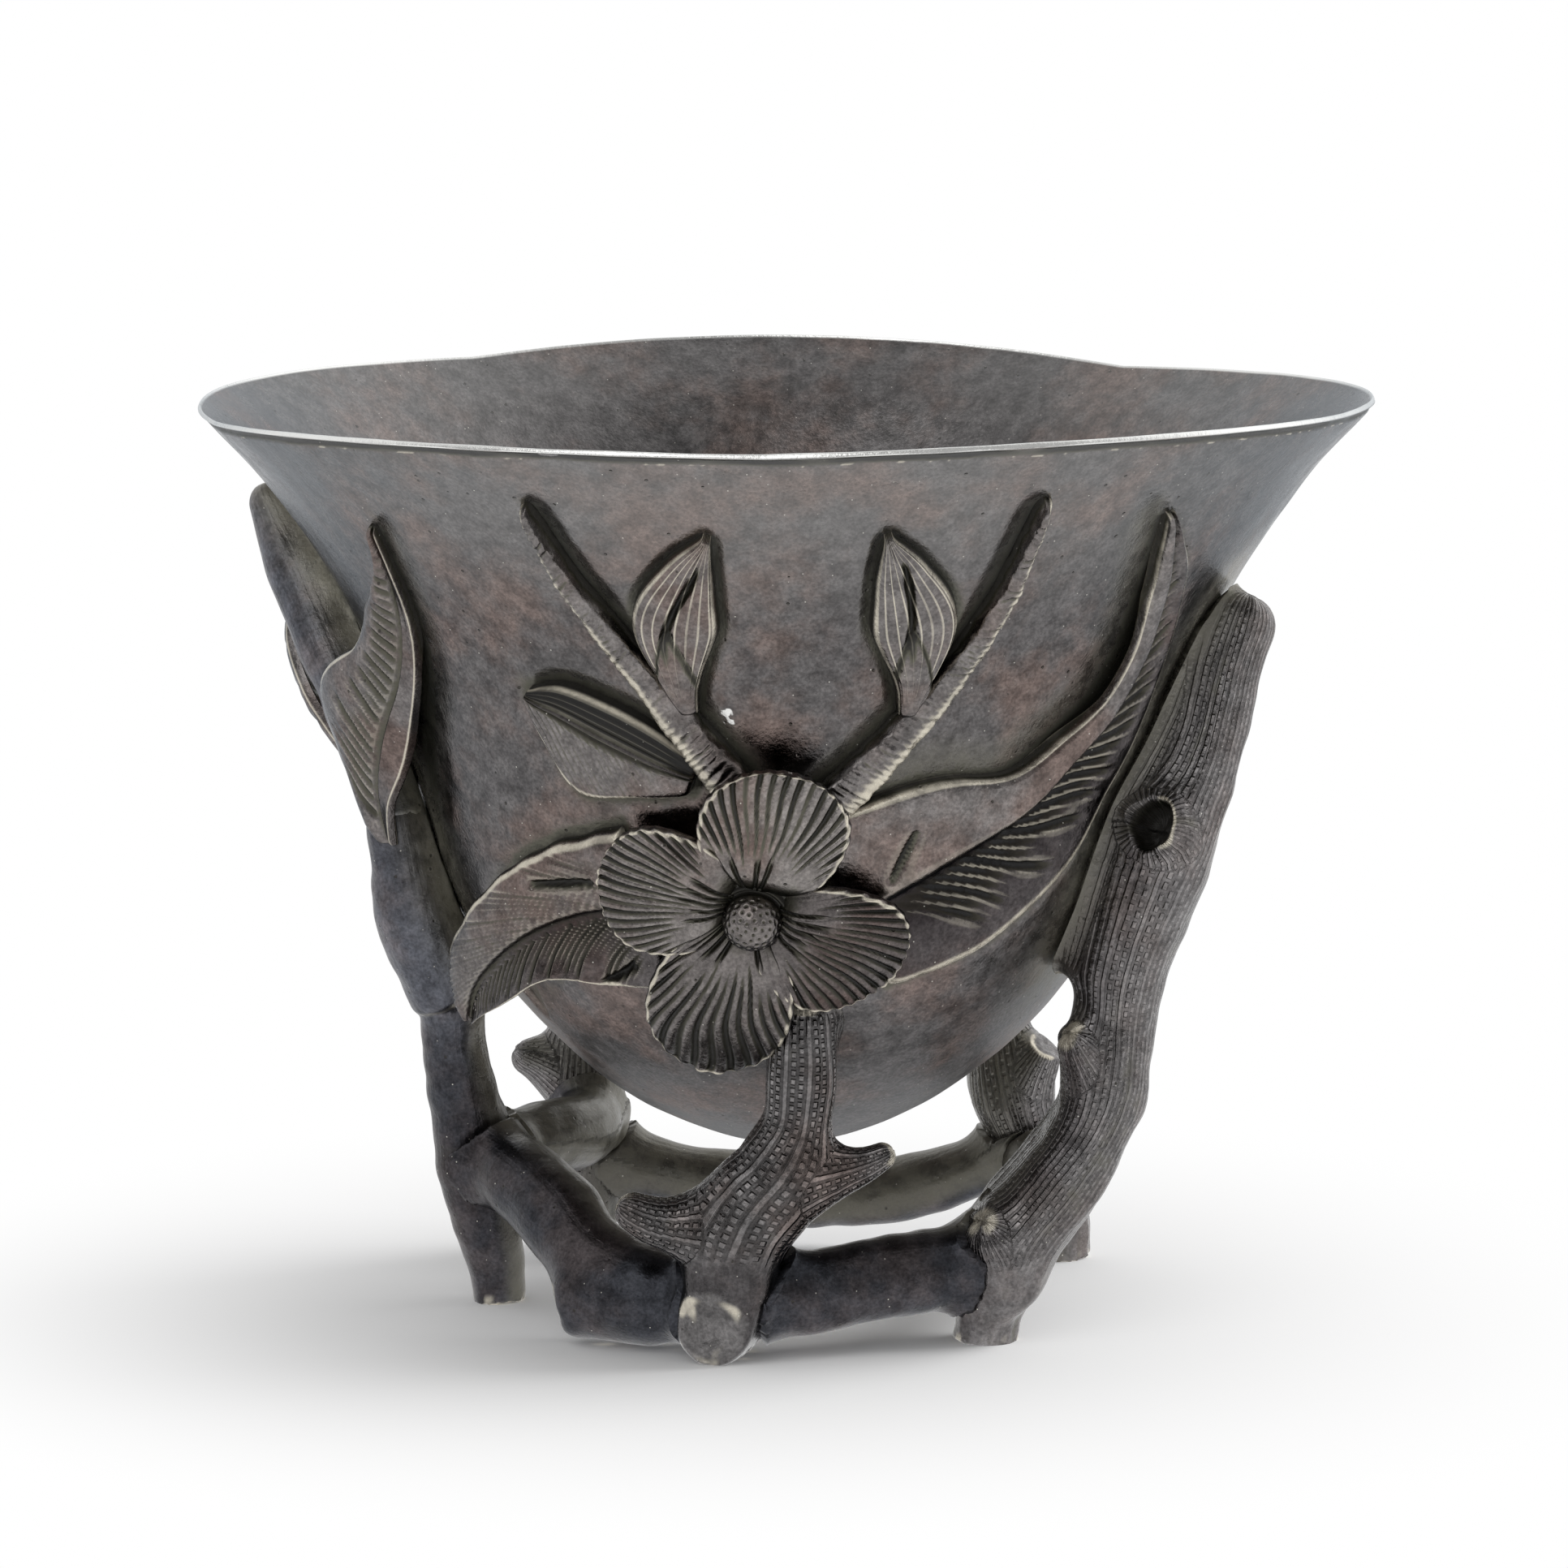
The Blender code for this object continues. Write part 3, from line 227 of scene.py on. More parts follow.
# Bark: height of the long streaks and of the slow lumps, rows of lines round a branch, pitch of the beads
Bark = namedtuple("Bark", "streak lump rows pitch")
STEM_BARK = Bark(0.05, 0.08, 27, 0.7)
TRUNK_BARK = Bark(0.12, 0.16, 40, 0.8)
SMOOTH_BARK = Bark(0.025, 0.16, 24, 1.0)
# Radius to which the end of a branch is rounded, from none at a foot to a full round
FLAT_END = 0.05
SAWN_END = 0.5
ROUND_END = 1.4
# The same for a side branch, as a share of its radius there: a horn, and a stub
HORN_END = 0.85
STUB_END = 0.4
ENDS = {
    "left_trunk": (FLAT_END, 0.9), "right_trunk": (FLAT_END, 2.1), "back_right_trunk": (FLAT_END, ROUND_END),
    "back_left_trunk": (FLAT_END, ROUND_END), "left_bough": (SAWN_END, 1.6), "front_stem": (ROUND_END, 2.9),
}
# Side branches that end in a round horn or knob, by number, instead of a sawn end
ROUND_SIDES = {"front_stem": (0, 1), "back_left_trunk": (0,), "right_trunk": (0, 1, 2)}
# A branch counts the one it grows from down to this depth inside it, and dips this far under its surface
SUNK = 0.25
FLUSH = 0.07
# Branches in full view, with a finer skin
FINE_SKINS = ("front_stem", "right_trunk")
FINE_SHARE = 0.72
# Shade on a trunk where a log joins it, and how far it spreads
JOINT_SHADE = 0.6
JOINT_REACH = 2.5
# Shade on the left side of a trunk that leans over the wall there
SHADY_SIDES = {"right_trunk": 0.55}
# Branches that lie against the wall, with a film of dirt beside them this far out
CLINGING = ("left_trunk", "left_bough", "right_trunk")
FILM_REACH = 3.6
WALL_FILM = 2.2
# Side branches whose tips are rubbed bright: number, how far that spreads, and how closed it is
WORN_TIPS = {
    "right_trunk": ((0, 1.5, 0.7), (1, 1.5, 0.7)),
    "front_stem": ((0, 1.5, 0.7), (1, 1.5, 0.7), (2, 3.1, -0.15)),
}
# Feet are rubbed up to about this height
FOOT_WEAR = 1.0
# The front stem is plain up to the first height and beaded from the second
STEM_PLAIN = (7.0, 10.5)
STEM_SHADE = 0.6
# Side branch whose end is hollow: its number, and the radius and depth of the hollow
HOLLOW_SIDES = {"right_trunk": (2, 1.6, 2.8)}
# Reach of the hollow curve where branches meet, where it is less than the usual one
TIGHT_WEBS = {"left_trunk": 1.3, "left_bough": 0.9}


def nearest_station(points, centre):
    """Index of the station nearest to each point."""
    apart = (points**2).sum(axis=1)[:, None] - 2.0 * points @ centre.T + (centre**2).sum(axis=1)
    return np.argmin(apart, axis=1)


def climb(*rows):
    """Stations that give the distance out from the wall, turned into stations that give the reach."""
    return tuple((azimuth, float(wall_radius(height)) + out, height, radius)
                 for azimuth, out, height, radius in rows)


def flow(rows, share):
    """Catmull-Rom curve through the rows, read at an array of shares from 0 to 1."""
    rows = np.asarray(rows, dtype=float)
    spans = len(rows) - 1
    padded = np.vstack([2.0 * rows[0] - rows[1], rows, 2.0 * rows[-1] - rows[-2]])
    place = np.clip(share, 0.0, 1.0) * spans
    span = np.minimum(place.astype(int), spans - 1)
    t = (place - span)[..., None]
    a, b, c, d = (padded[span + step] for step in range(4))
    return 0.5 * (2.0 * b + (c - a) * t + (2.0 * a - 5.0 * b + 4.0 * c - d) * t**2
                  + (3.0 * b - a - 3.0 * c + d) * t**3)


WALL = flow(WALL_LEVELS, np.linspace(1.0 / (len(WALL_LEVELS) - 1), 1.0, 700))


def wall_radius(height):
    """Radius of the outer wall at a height, before the lobes."""
    return np.interp(height, WALL[:, 1], WALL[:, 0])


def smooth_step(low, high, value):
    """Rises from 0 at low to 1 at high along a cubic S curve."""
    t = np.clip((value - low) / (high - low), 0.0, 1.0)
    return t * t * (3.0 - 2.0 * t)


def fall(low, high, value):
    """Falls from 1 at low to 0 at high along a cubic S curve."""
    return 1.0 - smooth_step(low, high, value)


def bell(value, width, centre=0.0):
    """Bell curve: 1 at the centre, and 1/e at one width from it."""
    return np.exp(-((value - centre) / width) ** 2)


def unit(vectors):
    """Vectors scaled to length 1."""
    return vectors / np.maximum(np.linalg.norm(vectors, axis=-1, keepdims=True), 1e-9)


def at(azimuth, reach, height):
    """Points at an azimuth, a distance from the bowl's axis and a height."""
    angle = np.radians(azimuth)
    return np.stack(np.broadcast_arrays(reach * np.sin(angle), -reach * np.cos(angle), height), axis=-1)


def azimuth_of(points):
    """Azimuth of points, from the front."""
    return np.degrees(np.arctan2(points[..., 0], -points[..., 1]))


def ripple(points, wavelength, seed, waves=9):
    """Smooth random waves of about one wavelength: a sum of plane waves in seeded directions."""
    dice = np.random.default_rng(seed)
    turns = unit(dice.normal(size=(waves, 3))) * dice.uniform(0.7, 1.4, (waves, 1)) * math.tau / wavelength
    phase = dice.uniform(0.0, math.tau, waves)
    return np.sin(points @ turns.T + phase).sum(axis=-1) / math.sqrt(2.0 * waves)


def lobes(azimuth):
    """Lift and outward bulge of the rim: each lobe is half a sine wave between its two seams."""
    seams = np.append(LOBES[:, 0], LOBES[0, 0] + 360.0)
    turned = (azimuth - seams[0]) % 360.0 + seams[0]
    index = np.clip(np.searchsorted(seams, turned, side="right") - 1, 0, len(LOBES) - 1)
    after = (index + 1) % len(LOBES)
    share = (turned - seams[index]) / (seams[index + 1] - seams[index])
    arch = np.sin(np.pi * share)
    level = LOBES[index, 1] + (LOBES[after, 1] - LOBES[index, 1]) * share
    crest = LOBES[index, 2] - (LOBES[index, 1] + LOBES[after, 1]) / 2.0
    return level + crest * arch, LOBE_BULGE * arch


def lobed(azimuth, radius, height):
    """Points of a turned surface after the lobes, which grow as the square of the height above the neck."""
    share = np.maximum(0.0, (height - LOBE_START) / (RIM_HEIGHT - LOBE_START)) ** 2
    lift, bulge = lobes(azimuth)
    return at(azimuth, radius + bulge * share, height + lift * share)


def on_wall(azimuth, height):
    """Points on the outside of the bowl."""
    return lobed(azimuth, wall_radius(height), height)


def wall_normal(azimuth, height):
    """Outward directions of the wall, from differences across and up the surface."""
    across = on_wall(azimuth + 0.5, height) - on_wall(azimuth - 0.5, height)
    upward = on_wall(azimuth, height + 0.3) - on_wall(azimuth, height - 0.3)
    return unit(np.cross(across, upward))


def wall_distance(points):
    """Distance of points out from the wall, square to its slope, and the direction away from the wall."""
    height = np.clip(points[:, 2], WALL[0, 1] + 0.3, WALL[-1, 1])
    slope = (wall_radius(height + 0.3) - wall_radius(height - 0.3)) / 0.6
    lean = 1.0 / np.sqrt(1.0 + slope**2)
    away = at(azimuth_of(points), lean, -slope * lean)
    out = (np.hypot(points[:, 0], points[:, 1]) - wall_radius(height)) * lean
    below = WALL[0, 1] - points[:, 2]
    return np.where(below > 0.0, np.hypot(out, below), out), away


LEFT_TRUNK = (
    (-88.0, 22.7, 0.0, 2.0), (-88.0, 23.0, 3.0, 2.2), (-87.0, 23.8, 7.0, 2.7), (-86.0, 24.6, 12.5, 3.2),
    (-84.0, 25.6, 17.0, 2.8), (-82.0, 26.4, 21.5, 2.5),
) + climb((-80.0, 4.7, 26.0, 2.5), (-78.5, 3.7, 31.0, 2.7), (-77.0, 2.7, 35.5, 2.7), (-77.5, 2.5, 39.5, 2.4),
          (-79.0, 2.3, 42.0, 1.6))
LEFT_TRUNK_SIDES = (
    climb((-79.8, 5.0, 25.4, 3.1), (-78.6, 3.9, 30.5, 3.2), (-77.2, 2.7, 35.5, 2.7)),
    ((-86.0, 24.2, 11.0, 2.6), (-85.5, 25.9, 13.0, 1.7)),
)
LEFT_BOUGH = climb(
    (-77.2, 2.4, 37.0, 1.5), (-77.8, 2.4, 40.0, 2.2), (-80.5, 2.5, 43.5, 2.4), (-86.5, 3.0, 49.0, 2.3),
    (-92.5, 3.6, 55.0, 2.3), (-97.0, 3.1, 60.0, 2.2), (-99.0, 2.0, 64.4, 1.7))
LEFT_BOUGH_SIDES = (
    climb((-83.0, 1.2, 45.0, 1.8), (-87.5, 1.4, 50.0, 2.0), (-92.0, 1.5, 55.0, 2.0), (-96.0, 1.2, 60.0, 1.8),
          (-98.5, 0.7, 63.4, 1.3)),
)
RIGHT_TRUNK = (
    (46.0, 21.6, 0.0, 2.4), (46.5, 22.0, 3.0, 2.5), (48.5, 23.6, 7.0, 2.9), (53.0, 26.2, 12.0, 3.2),
    (57.0, 28.6, 17.0, 2.8), (59.5, 29.2, 22.0, 2.9),
) + climb((61.0, 6.0, 28.0, 3.2), (63.0, 4.1, 35.0, 3.7), (65.5, 3.9, 40.0, 3.6), (68.0, 4.4, 45.5, 2.9),
          (71.0, 3.4, 52.0, 2.6), (73.0, 2.2, 57.6, 2.3))
RIGHT_TRUNK_SIDES = (
    ((58.0, 28.4, 18.0, 2.2), (55.5, 28.2, 21.4, 1.8), (51.8, 27.8, 24.4, 1.3)),
    ((47.5, 22.6, 4.5, 2.6), (44.0, 23.2, 7.6, 2.2), (39.8, 23.6, 9.9, 1.5)),
    climb((64.0, 3.7, 37.5, 2.9), (59.8, 4.5, 40.0, 2.4), (56.0, 4.4, 41.0, 2.0)),
    climb((60.0, 2.6, 29.0, 2.2), (61.5, 1.6, 36.0, 2.5), (64.5, 1.4, 42.0, 2.3), (68.5, 1.4, 48.0, 2.1),
          (72.0, 0.8, 54.5, 1.6)),
    ((46.0, 20.0, 6.0, 2.2), (56.0, 22.0, 11.5, 1.9), (63.0, 25.6, 17.5, 1.7), (66.0, 28.4, 23.0, 1.6)),
)
FRONT_STEM = climb((3.4, -0.1, 28.0, 2.2), (3.0, 4.1, 22.5, 2.7)) + (
    (2.0, 23.0, 18.5, 2.6), (-1.5, 22.8, 15.2, 3.2), (-6.0, 22.5, 12.3, 3.8), (-9.5, 22.2, 8.5, 3.6),
    (-11.5, 21.8, 4.0, 3.3),
)
FRONT_STEM_SIDES = (
    ((-8.0, 22.4, 10.4, 3.2), (-15.5, 23.0, 10.4, 2.5), (-23.0, 24.6, 10.9, 1.9), (-29.0, 26.4, 12.4, 1.25)),
    ((0.0, 22.7, 14.0, 2.9), (9.0, 22.9, 14.6, 1.9), (15.5, 23.2, 15.4, 1.3), (20.3, 23.9, 16.4, 0.95)),
    ((-10.5, 16.5, 3.4, 2.7), (-12.3, 21.0, 2.8, 2.9), (-13.2, 25.2, 2.8, 3.0)),
)
BACK_RIGHT_TRUNK = (
    (125.0, 27.3, 0.0, 2.3), (125.0, 26.8, 4.0, 2.6), (127.0, 25.0, 9.0, 2.9), (130.0, 23.0, 15.0, 2.7),
) + climb((133.0, 6.9, 20.0, 2.6), (136.0, 3.0, 26.0, 2.7), (139.0, 1.3, 33.0, 2.3), (142.0, 0.4, 39.5, 1.6))
BACK_RIGHT_TRUNK_SIDES = (((129.0, 23.6, 13.0, 2.2), (121.0, 24.6, 18.0, 1.5)),)
BACK_LEFT_TRUNK = (
    (-140.0, 25.5, 0.0, 2.3), (-140.0, 25.0, 4.0, 2.6), (-139.0, 24.0, 10.0, 2.9), (-137.0, 23.6, 16.0, 2.7),
) + climb((-138.0, 5.8, 22.0, 2.6), (-141.0, 2.3, 28.0, 2.5), (-144.0, 0.6, 36.0, 1.8))
BACK_LEFT_TRUNK_SIDES = (((-137.0, 23.8, 14.0, 2.2), (-131.5, 25.8, 15.6, 1.8), (-127.6, 27.8, 16.8, 1.3)),)
FRONT_LEFT_LOG = (
    (-13.0, 19.3, 3.8, 2.8), (-29.0, 20.4, 4.3, 3.2), (-44.0, 20.9, 6.1, 3.2), (-58.0, 20.8, 8.8, 3.3),
    (-74.0, 21.8, 11.2, 3.2), (-86.0, 24.4, 12.3, 2.2),
)
FRONT_LEFT_LOG_SIDES = (((-30.0, 20.5, 3.8, 2.9), (-47.5, 23.0, 2.9, 2.6)),)
FRONT_RIGHT_LOG = (
    (-10.0, 19.6, 4.2, 2.8), (6.0, 20.1, 4.8, 3.2), (25.0, 19.8, 5.6, 3.2), (38.0, 20.4, 6.0, 3.0),
    (47.0, 21.8, 6.4, 2.1))
RIGHT_BACK_LOG = (
    (52.0, 23.4, 9.0, 2.0), (75.0, 20.6, 9.0, 2.7), (100.0, 21.2, 8.6, 2.7), (126.5, 25.4, 8.2, 2.1))
BACK_LOG = (
    (127.5, 24.6, 9.6, 2.1), (146.0, 20.6, 5.8, 2.6), (170.0, 18.2, 4.6, 2.7), (195.0, 18.4, 5.6, 2.7),
    (220.5, 24.2, 8.0, 2.5))
LEFT_BACK_LOG = (
    (-138.0, 23.6, 12.6, 2.1), (-124.0, 19.8, 11.4, 2.9), (-106.0, 20.0, 11.8, 3.0), (-86.0, 24.6, 12.6, 2.0))

TRUNKS = {
    "left_trunk": Branch(LEFT_TRUNK, LEFT_TRUNK_SIDES, (), SMOOTH_BARK),
    "right_trunk": Branch(RIGHT_TRUNK, RIGHT_TRUNK_SIDES, (), TRUNK_BARK),
    "front_stem": Branch(FRONT_STEM, FRONT_STEM_SIDES, (), STEM_BARK),
    "back_right_trunk": Branch(BACK_RIGHT_TRUNK, BACK_RIGHT_TRUNK_SIDES, (), TRUNK_BARK),
    "back_left_trunk": Branch(BACK_LEFT_TRUNK, BACK_LEFT_TRUNK_SIDES, (), TRUNK_BARK),
}
LOGS = {
    "left_bough": Branch(LEFT_BOUGH, LEFT_BOUGH_SIDES, ("left_trunk",), SMOOTH_BARK),
    "front_left_log": Branch(FRONT_LEFT_LOG, FRONT_LEFT_LOG_SIDES, ("left_trunk", "front_stem"), SMOOTH_BARK),
    "front_right_log": Branch(FRONT_RIGHT_LOG, (), ("right_trunk", "front_stem", "front_left_log"),
                              SMOOTH_BARK),
    "right_back_log": Branch(RIGHT_BACK_LOG, (), ("right_trunk", "back_right_trunk"), SMOOTH_BARK),
    "back_log": Branch(BACK_LOG, (), ("back_right_trunk", "back_left_trunk", "right_back_log"), SMOOTH_BARK),
    "left_back_log": Branch(LEFT_BACK_LOG, (), ("back_left_trunk", "left_trunk", "back_log",
                                                "front_left_log"), SMOOTH_BARK),
}


class CupChasing(PropertyGroup):
    """Sizes of the chased surfaces."""

    moat_scale: FloatProperty(
        name="Ground depth",
        description="Share of the full depth to which the wall is cut back beside the sprays", default=1.0,
        min=0.0, max=1.3, subtype="FACTOR")
    vein_scale: FloatProperty(
        name="Vein depth", description="Share of the full depth of the leaf veins", default=1.0, min=0.0,
        max=2.0, subtype="FACTOR")
    flutes: IntProperty(
        name="Petal flutes", description="Radial grooves in half a turn of a petal", default=38, min=6,
        max=60)
    flute_depth: FloatProperty(
        name="Flute depth", description="Depth of the radial grooves of the petals", default=0.00032,
        min=0.0, max=0.001, subtype="DISTANCE", unit="LENGTH")
    bark_scale: FloatProperty(
        name="Bark depth", description="Share of the full depth of the bark's streaks", default=1.0,
        min=0.0, max=2.0, subtype="FACTOR")
    web: FloatProperty(
        name="Web", description="Width over which branches run into each other", default=0.0032,
        min=0.0002, max=0.006, subtype="DISTANCE", unit="LENGTH")
    skin_cell: FloatProperty(
        name="Skin cell", description="Size of the cells in the skin of the branches", default=0.00026,
        min=0.00015, max=0.001, subtype="DISTANCE", unit="LENGTH")


class CupPatina(PropertyGroup):
    """Colours and gloss of the patina."""

    wall: FloatVectorProperty(
        name="Wall", description="Brown-grey bronze of the bowl", default=(0.122, 0.116, 0.116), min=0.0,
        max=1.0, subtype="COLOR")
    leaf: FloatVectorProperty(
        name="Leaf", description="Bronze of the leaves and buds", default=(0.185, 0.172, 0.168), min=0.0,
        max=1.0, subtype="COLOR")
    # The petals are painted paler as the light on the upturned top petal; the petals turned away take painted
    # shade
    blossom: FloatVectorProperty(
        name="Blossom", description="Bronze of the petals", default=(0.245, 0.226, 0.216), min=0.0,
        max=1.0, subtype="COLOR")
    stem: FloatVectorProperty(
        name="Stem", description="Bronze of the front stem", default=(0.165, 0.158, 0.158), min=0.0,
        max=1.0, subtype="COLOR")
    # The barked trunks are painted paler, partly as the light that falls on the right trunk from the right
    trunk: FloatVectorProperty(
        name="Trunk", description="Paler bronze of the barked trunks", default=(0.215, 0.206, 0.206),
        min=0.0, max=1.0, subtype="COLOR")
    log: FloatVectorProperty(
        name="Log", description="Bluish dark bronze of the smooth trunk and the logs",
        default=(0.046, 0.048, 0.056), min=0.0, max=1.0, subtype="COLOR")
    red: FloatVectorProperty(
        name="Red-brown", description="Warm blotches in the patina", default=(0.175, 0.128, 0.112),
        min=0.0, max=1.0, subtype="COLOR")
    shadow: FloatVectorProperty(
        name="Shadow", description="Share of the colour that is left in shade",
        default=(0.24, 0.22, 0.24), min=0.0, max=1.0, subtype="COLOR")
    edge: FloatVectorProperty(
        name="Edge", description="Colour of the metal where it turns away from the eye",
        default=(0.60, 0.63, 0.66), min=0.0, max=1.0, subtype="COLOR")
    # Painted shade inside the bowl
    inner_shade: FloatVectorProperty(
        name="Inner shade", description="Share of the wall's colour that is left inside the bowl",
        default=(0.95, 0.94, 0.94), min=0.0, max=1.0, subtype="COLOR")
    # The polished metal also paints the sheen near the rim and inside the bowl
    silver: FloatVectorProperty(
        name="Polished metal", description="Bright metal of the rubbed lip", default=(0.90, 0.90, 0.88),
        min=0.0, max=1.0, subtype="COLOR")
    # The worn colour also paints highlights: the rolled leaf margins, the sheen on a leaf's higher half, the
    # ridges between veins and the ledge of the hollow stub
    worn: FloatVectorProperty(
        name="Worn metal", description="Tan metal on rubbed edges and ridges", default=(0.80, 0.74, 0.61),
        min=0.0, max=1.0, subtype="COLOR")
    olive: FloatVectorProperty(
        name="Olive film", description="Dull film in the shallow hollows", default=(0.120, 0.116, 0.092),
        min=0.0, max=1.0, subtype="COLOR")
    grime: FloatVectorProperty(
        name="Grime", description="Black dirt in the deepest hollows", default=(0.045, 0.042, 0.036),
        min=0.0, max=1.0, subtype="COLOR")
    khaki: FloatVectorProperty(
        name="Khaki film", description="Pale dull film on the sheltered faces of the stand",
        default=(0.185, 0.175, 0.138), min=0.0, max=1.0, subtype="COLOR")
    # The belly is painted paler, standing in for the light it reflects from the floor
    belly: FloatProperty(
        name="Belly", description="How much paler the belly is than the wall above it", default=1.5,
        min=1.0, max=3.0)
    upper: FloatProperty(
        name="Upper branches", description="How much paler the branches are beside the bowl", default=2.3,
        min=1.0, max=3.0)
    matt_wear: FloatProperty(
        name="Matt wear", description="How far worn metal is matt", default=0.6, min=0.0, max=1.0,
        subtype="FACTOR")
    film: FloatProperty(
        name="Film", description="How far a film of dirt hides the metal", default=0.85, min=0.0, max=1.0,
        subtype="FACTOR")
    roughness: FloatProperty(
        name="Roughness", description="Roughness of the clean patina", default=0.19, min=0.05, max=1.0,
        subtype="FACTOR")


class CupStage(PropertyGroup):
    """Floor, light and camera."""

    floor: FloatVectorProperty(
        name="Floor", description="Colour of the floor", default=(0.93, 0.93, 0.93), min=0.0, max=1.0,
        subtype="COLOR")
    right: FloatProperty(
        name="Right", description="Strength of the light from the right", default=1.25, min=0.0, max=2.0)
    left: FloatProperty(
        name="Left", description="Strength of the light from the left", default=0.9, min=0.0, max=2.0)
    front: FloatProperty(
        name="Front", description="Share of the light that comes from the dim side behind the camera",
        default=0.34, min=0.0, max=1.0, subtype="FACTOR")
    shade: FloatProperty(
        name="Shade", description="Share of the surrounding light that reaches matt surfaces",
        default=0.74, min=0.0, max=1.0, subtype="FACTOR")
    overhead: FloatProperty(
        name="Overhead", description="Strength of the surroundings straight above", default=0.75, min=0.0,
        max=2.0)
    panel: FloatProperty(
        name="Panel", description="Light added by the soft panel at the upper left in front", default=1.1,
        min=0.0, max=2.0)
    lamp: FloatProperty(
        name="Softbox", description="Power of the softbox at the back right, for the shadow", default=2.9,
        min=0.0, max=50.0, subtype="POWER", unit="POWER")


def grid_faces(rows, columns):
    """Quads of a grid that closes round its columns, and the triangles that close it at two extra poles."""
    row, column = np.meshgrid(np.arange(rows - 1), np.arange(columns), indexing="ij")
    beside = (column + 1) % columns
    quads = np.stack([row * columns + column, row * columns + beside,
                      (row + 1) * columns + beside, (row + 1) * columns + column], axis=-1).reshape(-1, 4)
    column = np.arange(columns)
    beside = (column + 1) % columns
    last = (rows - 1) * columns
    first_fan = np.stack([np.full(columns, rows * columns), beside, column], axis=-1)
    last_fan = np.stack([np.full(columns, rows * columns + 1), last + column, last + beside], axis=-1)
    return quads, np.vstack([first_fan, last_fan])


def write_mesh(name, points, quads, triangles):
    """Object with a smooth mesh in metres, its faces turned outwards by the sign of the enclosed volume."""
    split = np.vstack([quads[:, [0, 1, 2]], quads[:, [0, 2, 3]], triangles])
    corners = points[split]
    volume = np.einsum("ij,ij->i", corners[:, 0], np.cross(corners[:, 1], corners[:, 2])).sum()
    if volume < 0.0:
        quads = quads[:, ::-1]
        triangles = triangles[:, ::-1]
    mesh = bpy.data.meshes.new(name)
    mesh.vertices.add(len(points))
    mesh.vertices.foreach_set("co", (points * MM).astype(np.float32).ravel())
    loops = np.concatenate([quads.ravel(), triangles.ravel()]).astype(np.int32)
    sizes = np.concatenate([np.full(len(quads), 4), np.full(len(triangles), 3)]).astype(np.int32)
    mesh.loops.add(len(loops))
    mesh.loops.foreach_set("vertex_index", loops)
    mesh.polygons.add(len(sizes))
    mesh.polygons.foreach_set("loop_start", (np.cumsum(sizes) - sizes).astype(np.int32))
    mesh.update(calc_edges=True)
    mesh.shade_smooth()
    if mesh.validate():
        raise RuntimeError("the grid of " + name + " has broken faces")
    piece = bpy.data.objects.new(name, mesh)
    bpy.context.scene.collection.objects.link(piece)
    return piece


def paint(piece, name, values):
    """Store one number per vertex, which the patina reads."""
    layer = piece.data.attributes.new(name, "FLOAT", "POINT")
    layer.data.foreach_set("value", np.asarray(values, dtype=np.float32).ravel())


def standing_out(rings):
    """How far each point of a grid stands out from the blurred grid, along the outward normal."""
    soft = rings
    for _ in range(BLUR_PASSES):
        padded = np.concatenate([soft[:1], soft, soft[-1:]])
        soft = (np.roll(soft, 1, axis=1) + np.roll(soft, -1, axis=1) + padded[:-2] + padded[2:]) / 4.0
    across = np.roll(rings, -1, axis=1) - np.roll(rings, 1, axis=1)
    normal = unit(np.cross(np.gradient(rings, axis=0), across))
    centre = rings.mean(axis=1, keepdims=True)
    inside_out = ((rings - centre) * normal).sum() < 0.0
    return ((rings - soft) * normal).sum(axis=-1) * (-1.0 if inside_out else 1.0)


def ring_piece(name, rings, grime, wear, crests=0.0, shade=None):
    """Piece from a grid of closed rings with a pole at each end, with its grime, its wear and painted
    highlights, and any painted shade.

    Crests are worn in a share of how far they stand out, on top of the wear given.
    """
    rows, columns, _ = rings.shape
    quads, triangles = grid_faces(rows, columns)
    poles = np.stack([rings[0].mean(axis=0), rings[-1].mean(axis=0)])
    piece = write_mesh(name, np.vstack([rings.reshape(-1, 3), poles]), quads, triangles)
    wear_and_highlight = np.clip(wear + crests * np.clip(standing_out(rings) / CREST_HEIGHT, 0.0, 1.0), 0.0, 1.0)
    for label, values in (("wear_and_highlight", wear_and_highlight), ("grime", np.clip(grime, 0.0, 1.0))):
        paint(piece, label, np.append(values.ravel(), (values[0].mean(), values[-1].mean())))
    if shade is not None:
        paint(piece, "shade", np.append(np.clip(shade, 0.0, 1.0).ravel(), (0.0, 0.0)))
    return piece


def install(node, piece, bronze):
    """Put a piece in the place of its CAD node, riding on the one body."""
    piece.name = node + "_skin"
    piece.data.materials.append(bronze)
    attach(piece, "root")
    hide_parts(node)


def midline(rows, count=90):
    """Stations along a laid piece: row values, place on the wall, heading and direction to its left."""
    row = flow(rows, np.linspace(0.0, 1.0, count))
    centre = on_wall(row[:, 0], row[:, 1])
    heading = unit(np.gradient(centre, axis=0))
    left = unit(np.cross(wall_normal(row[:, 0], row[:, 1]), heading))
    return row, centre, heading, left


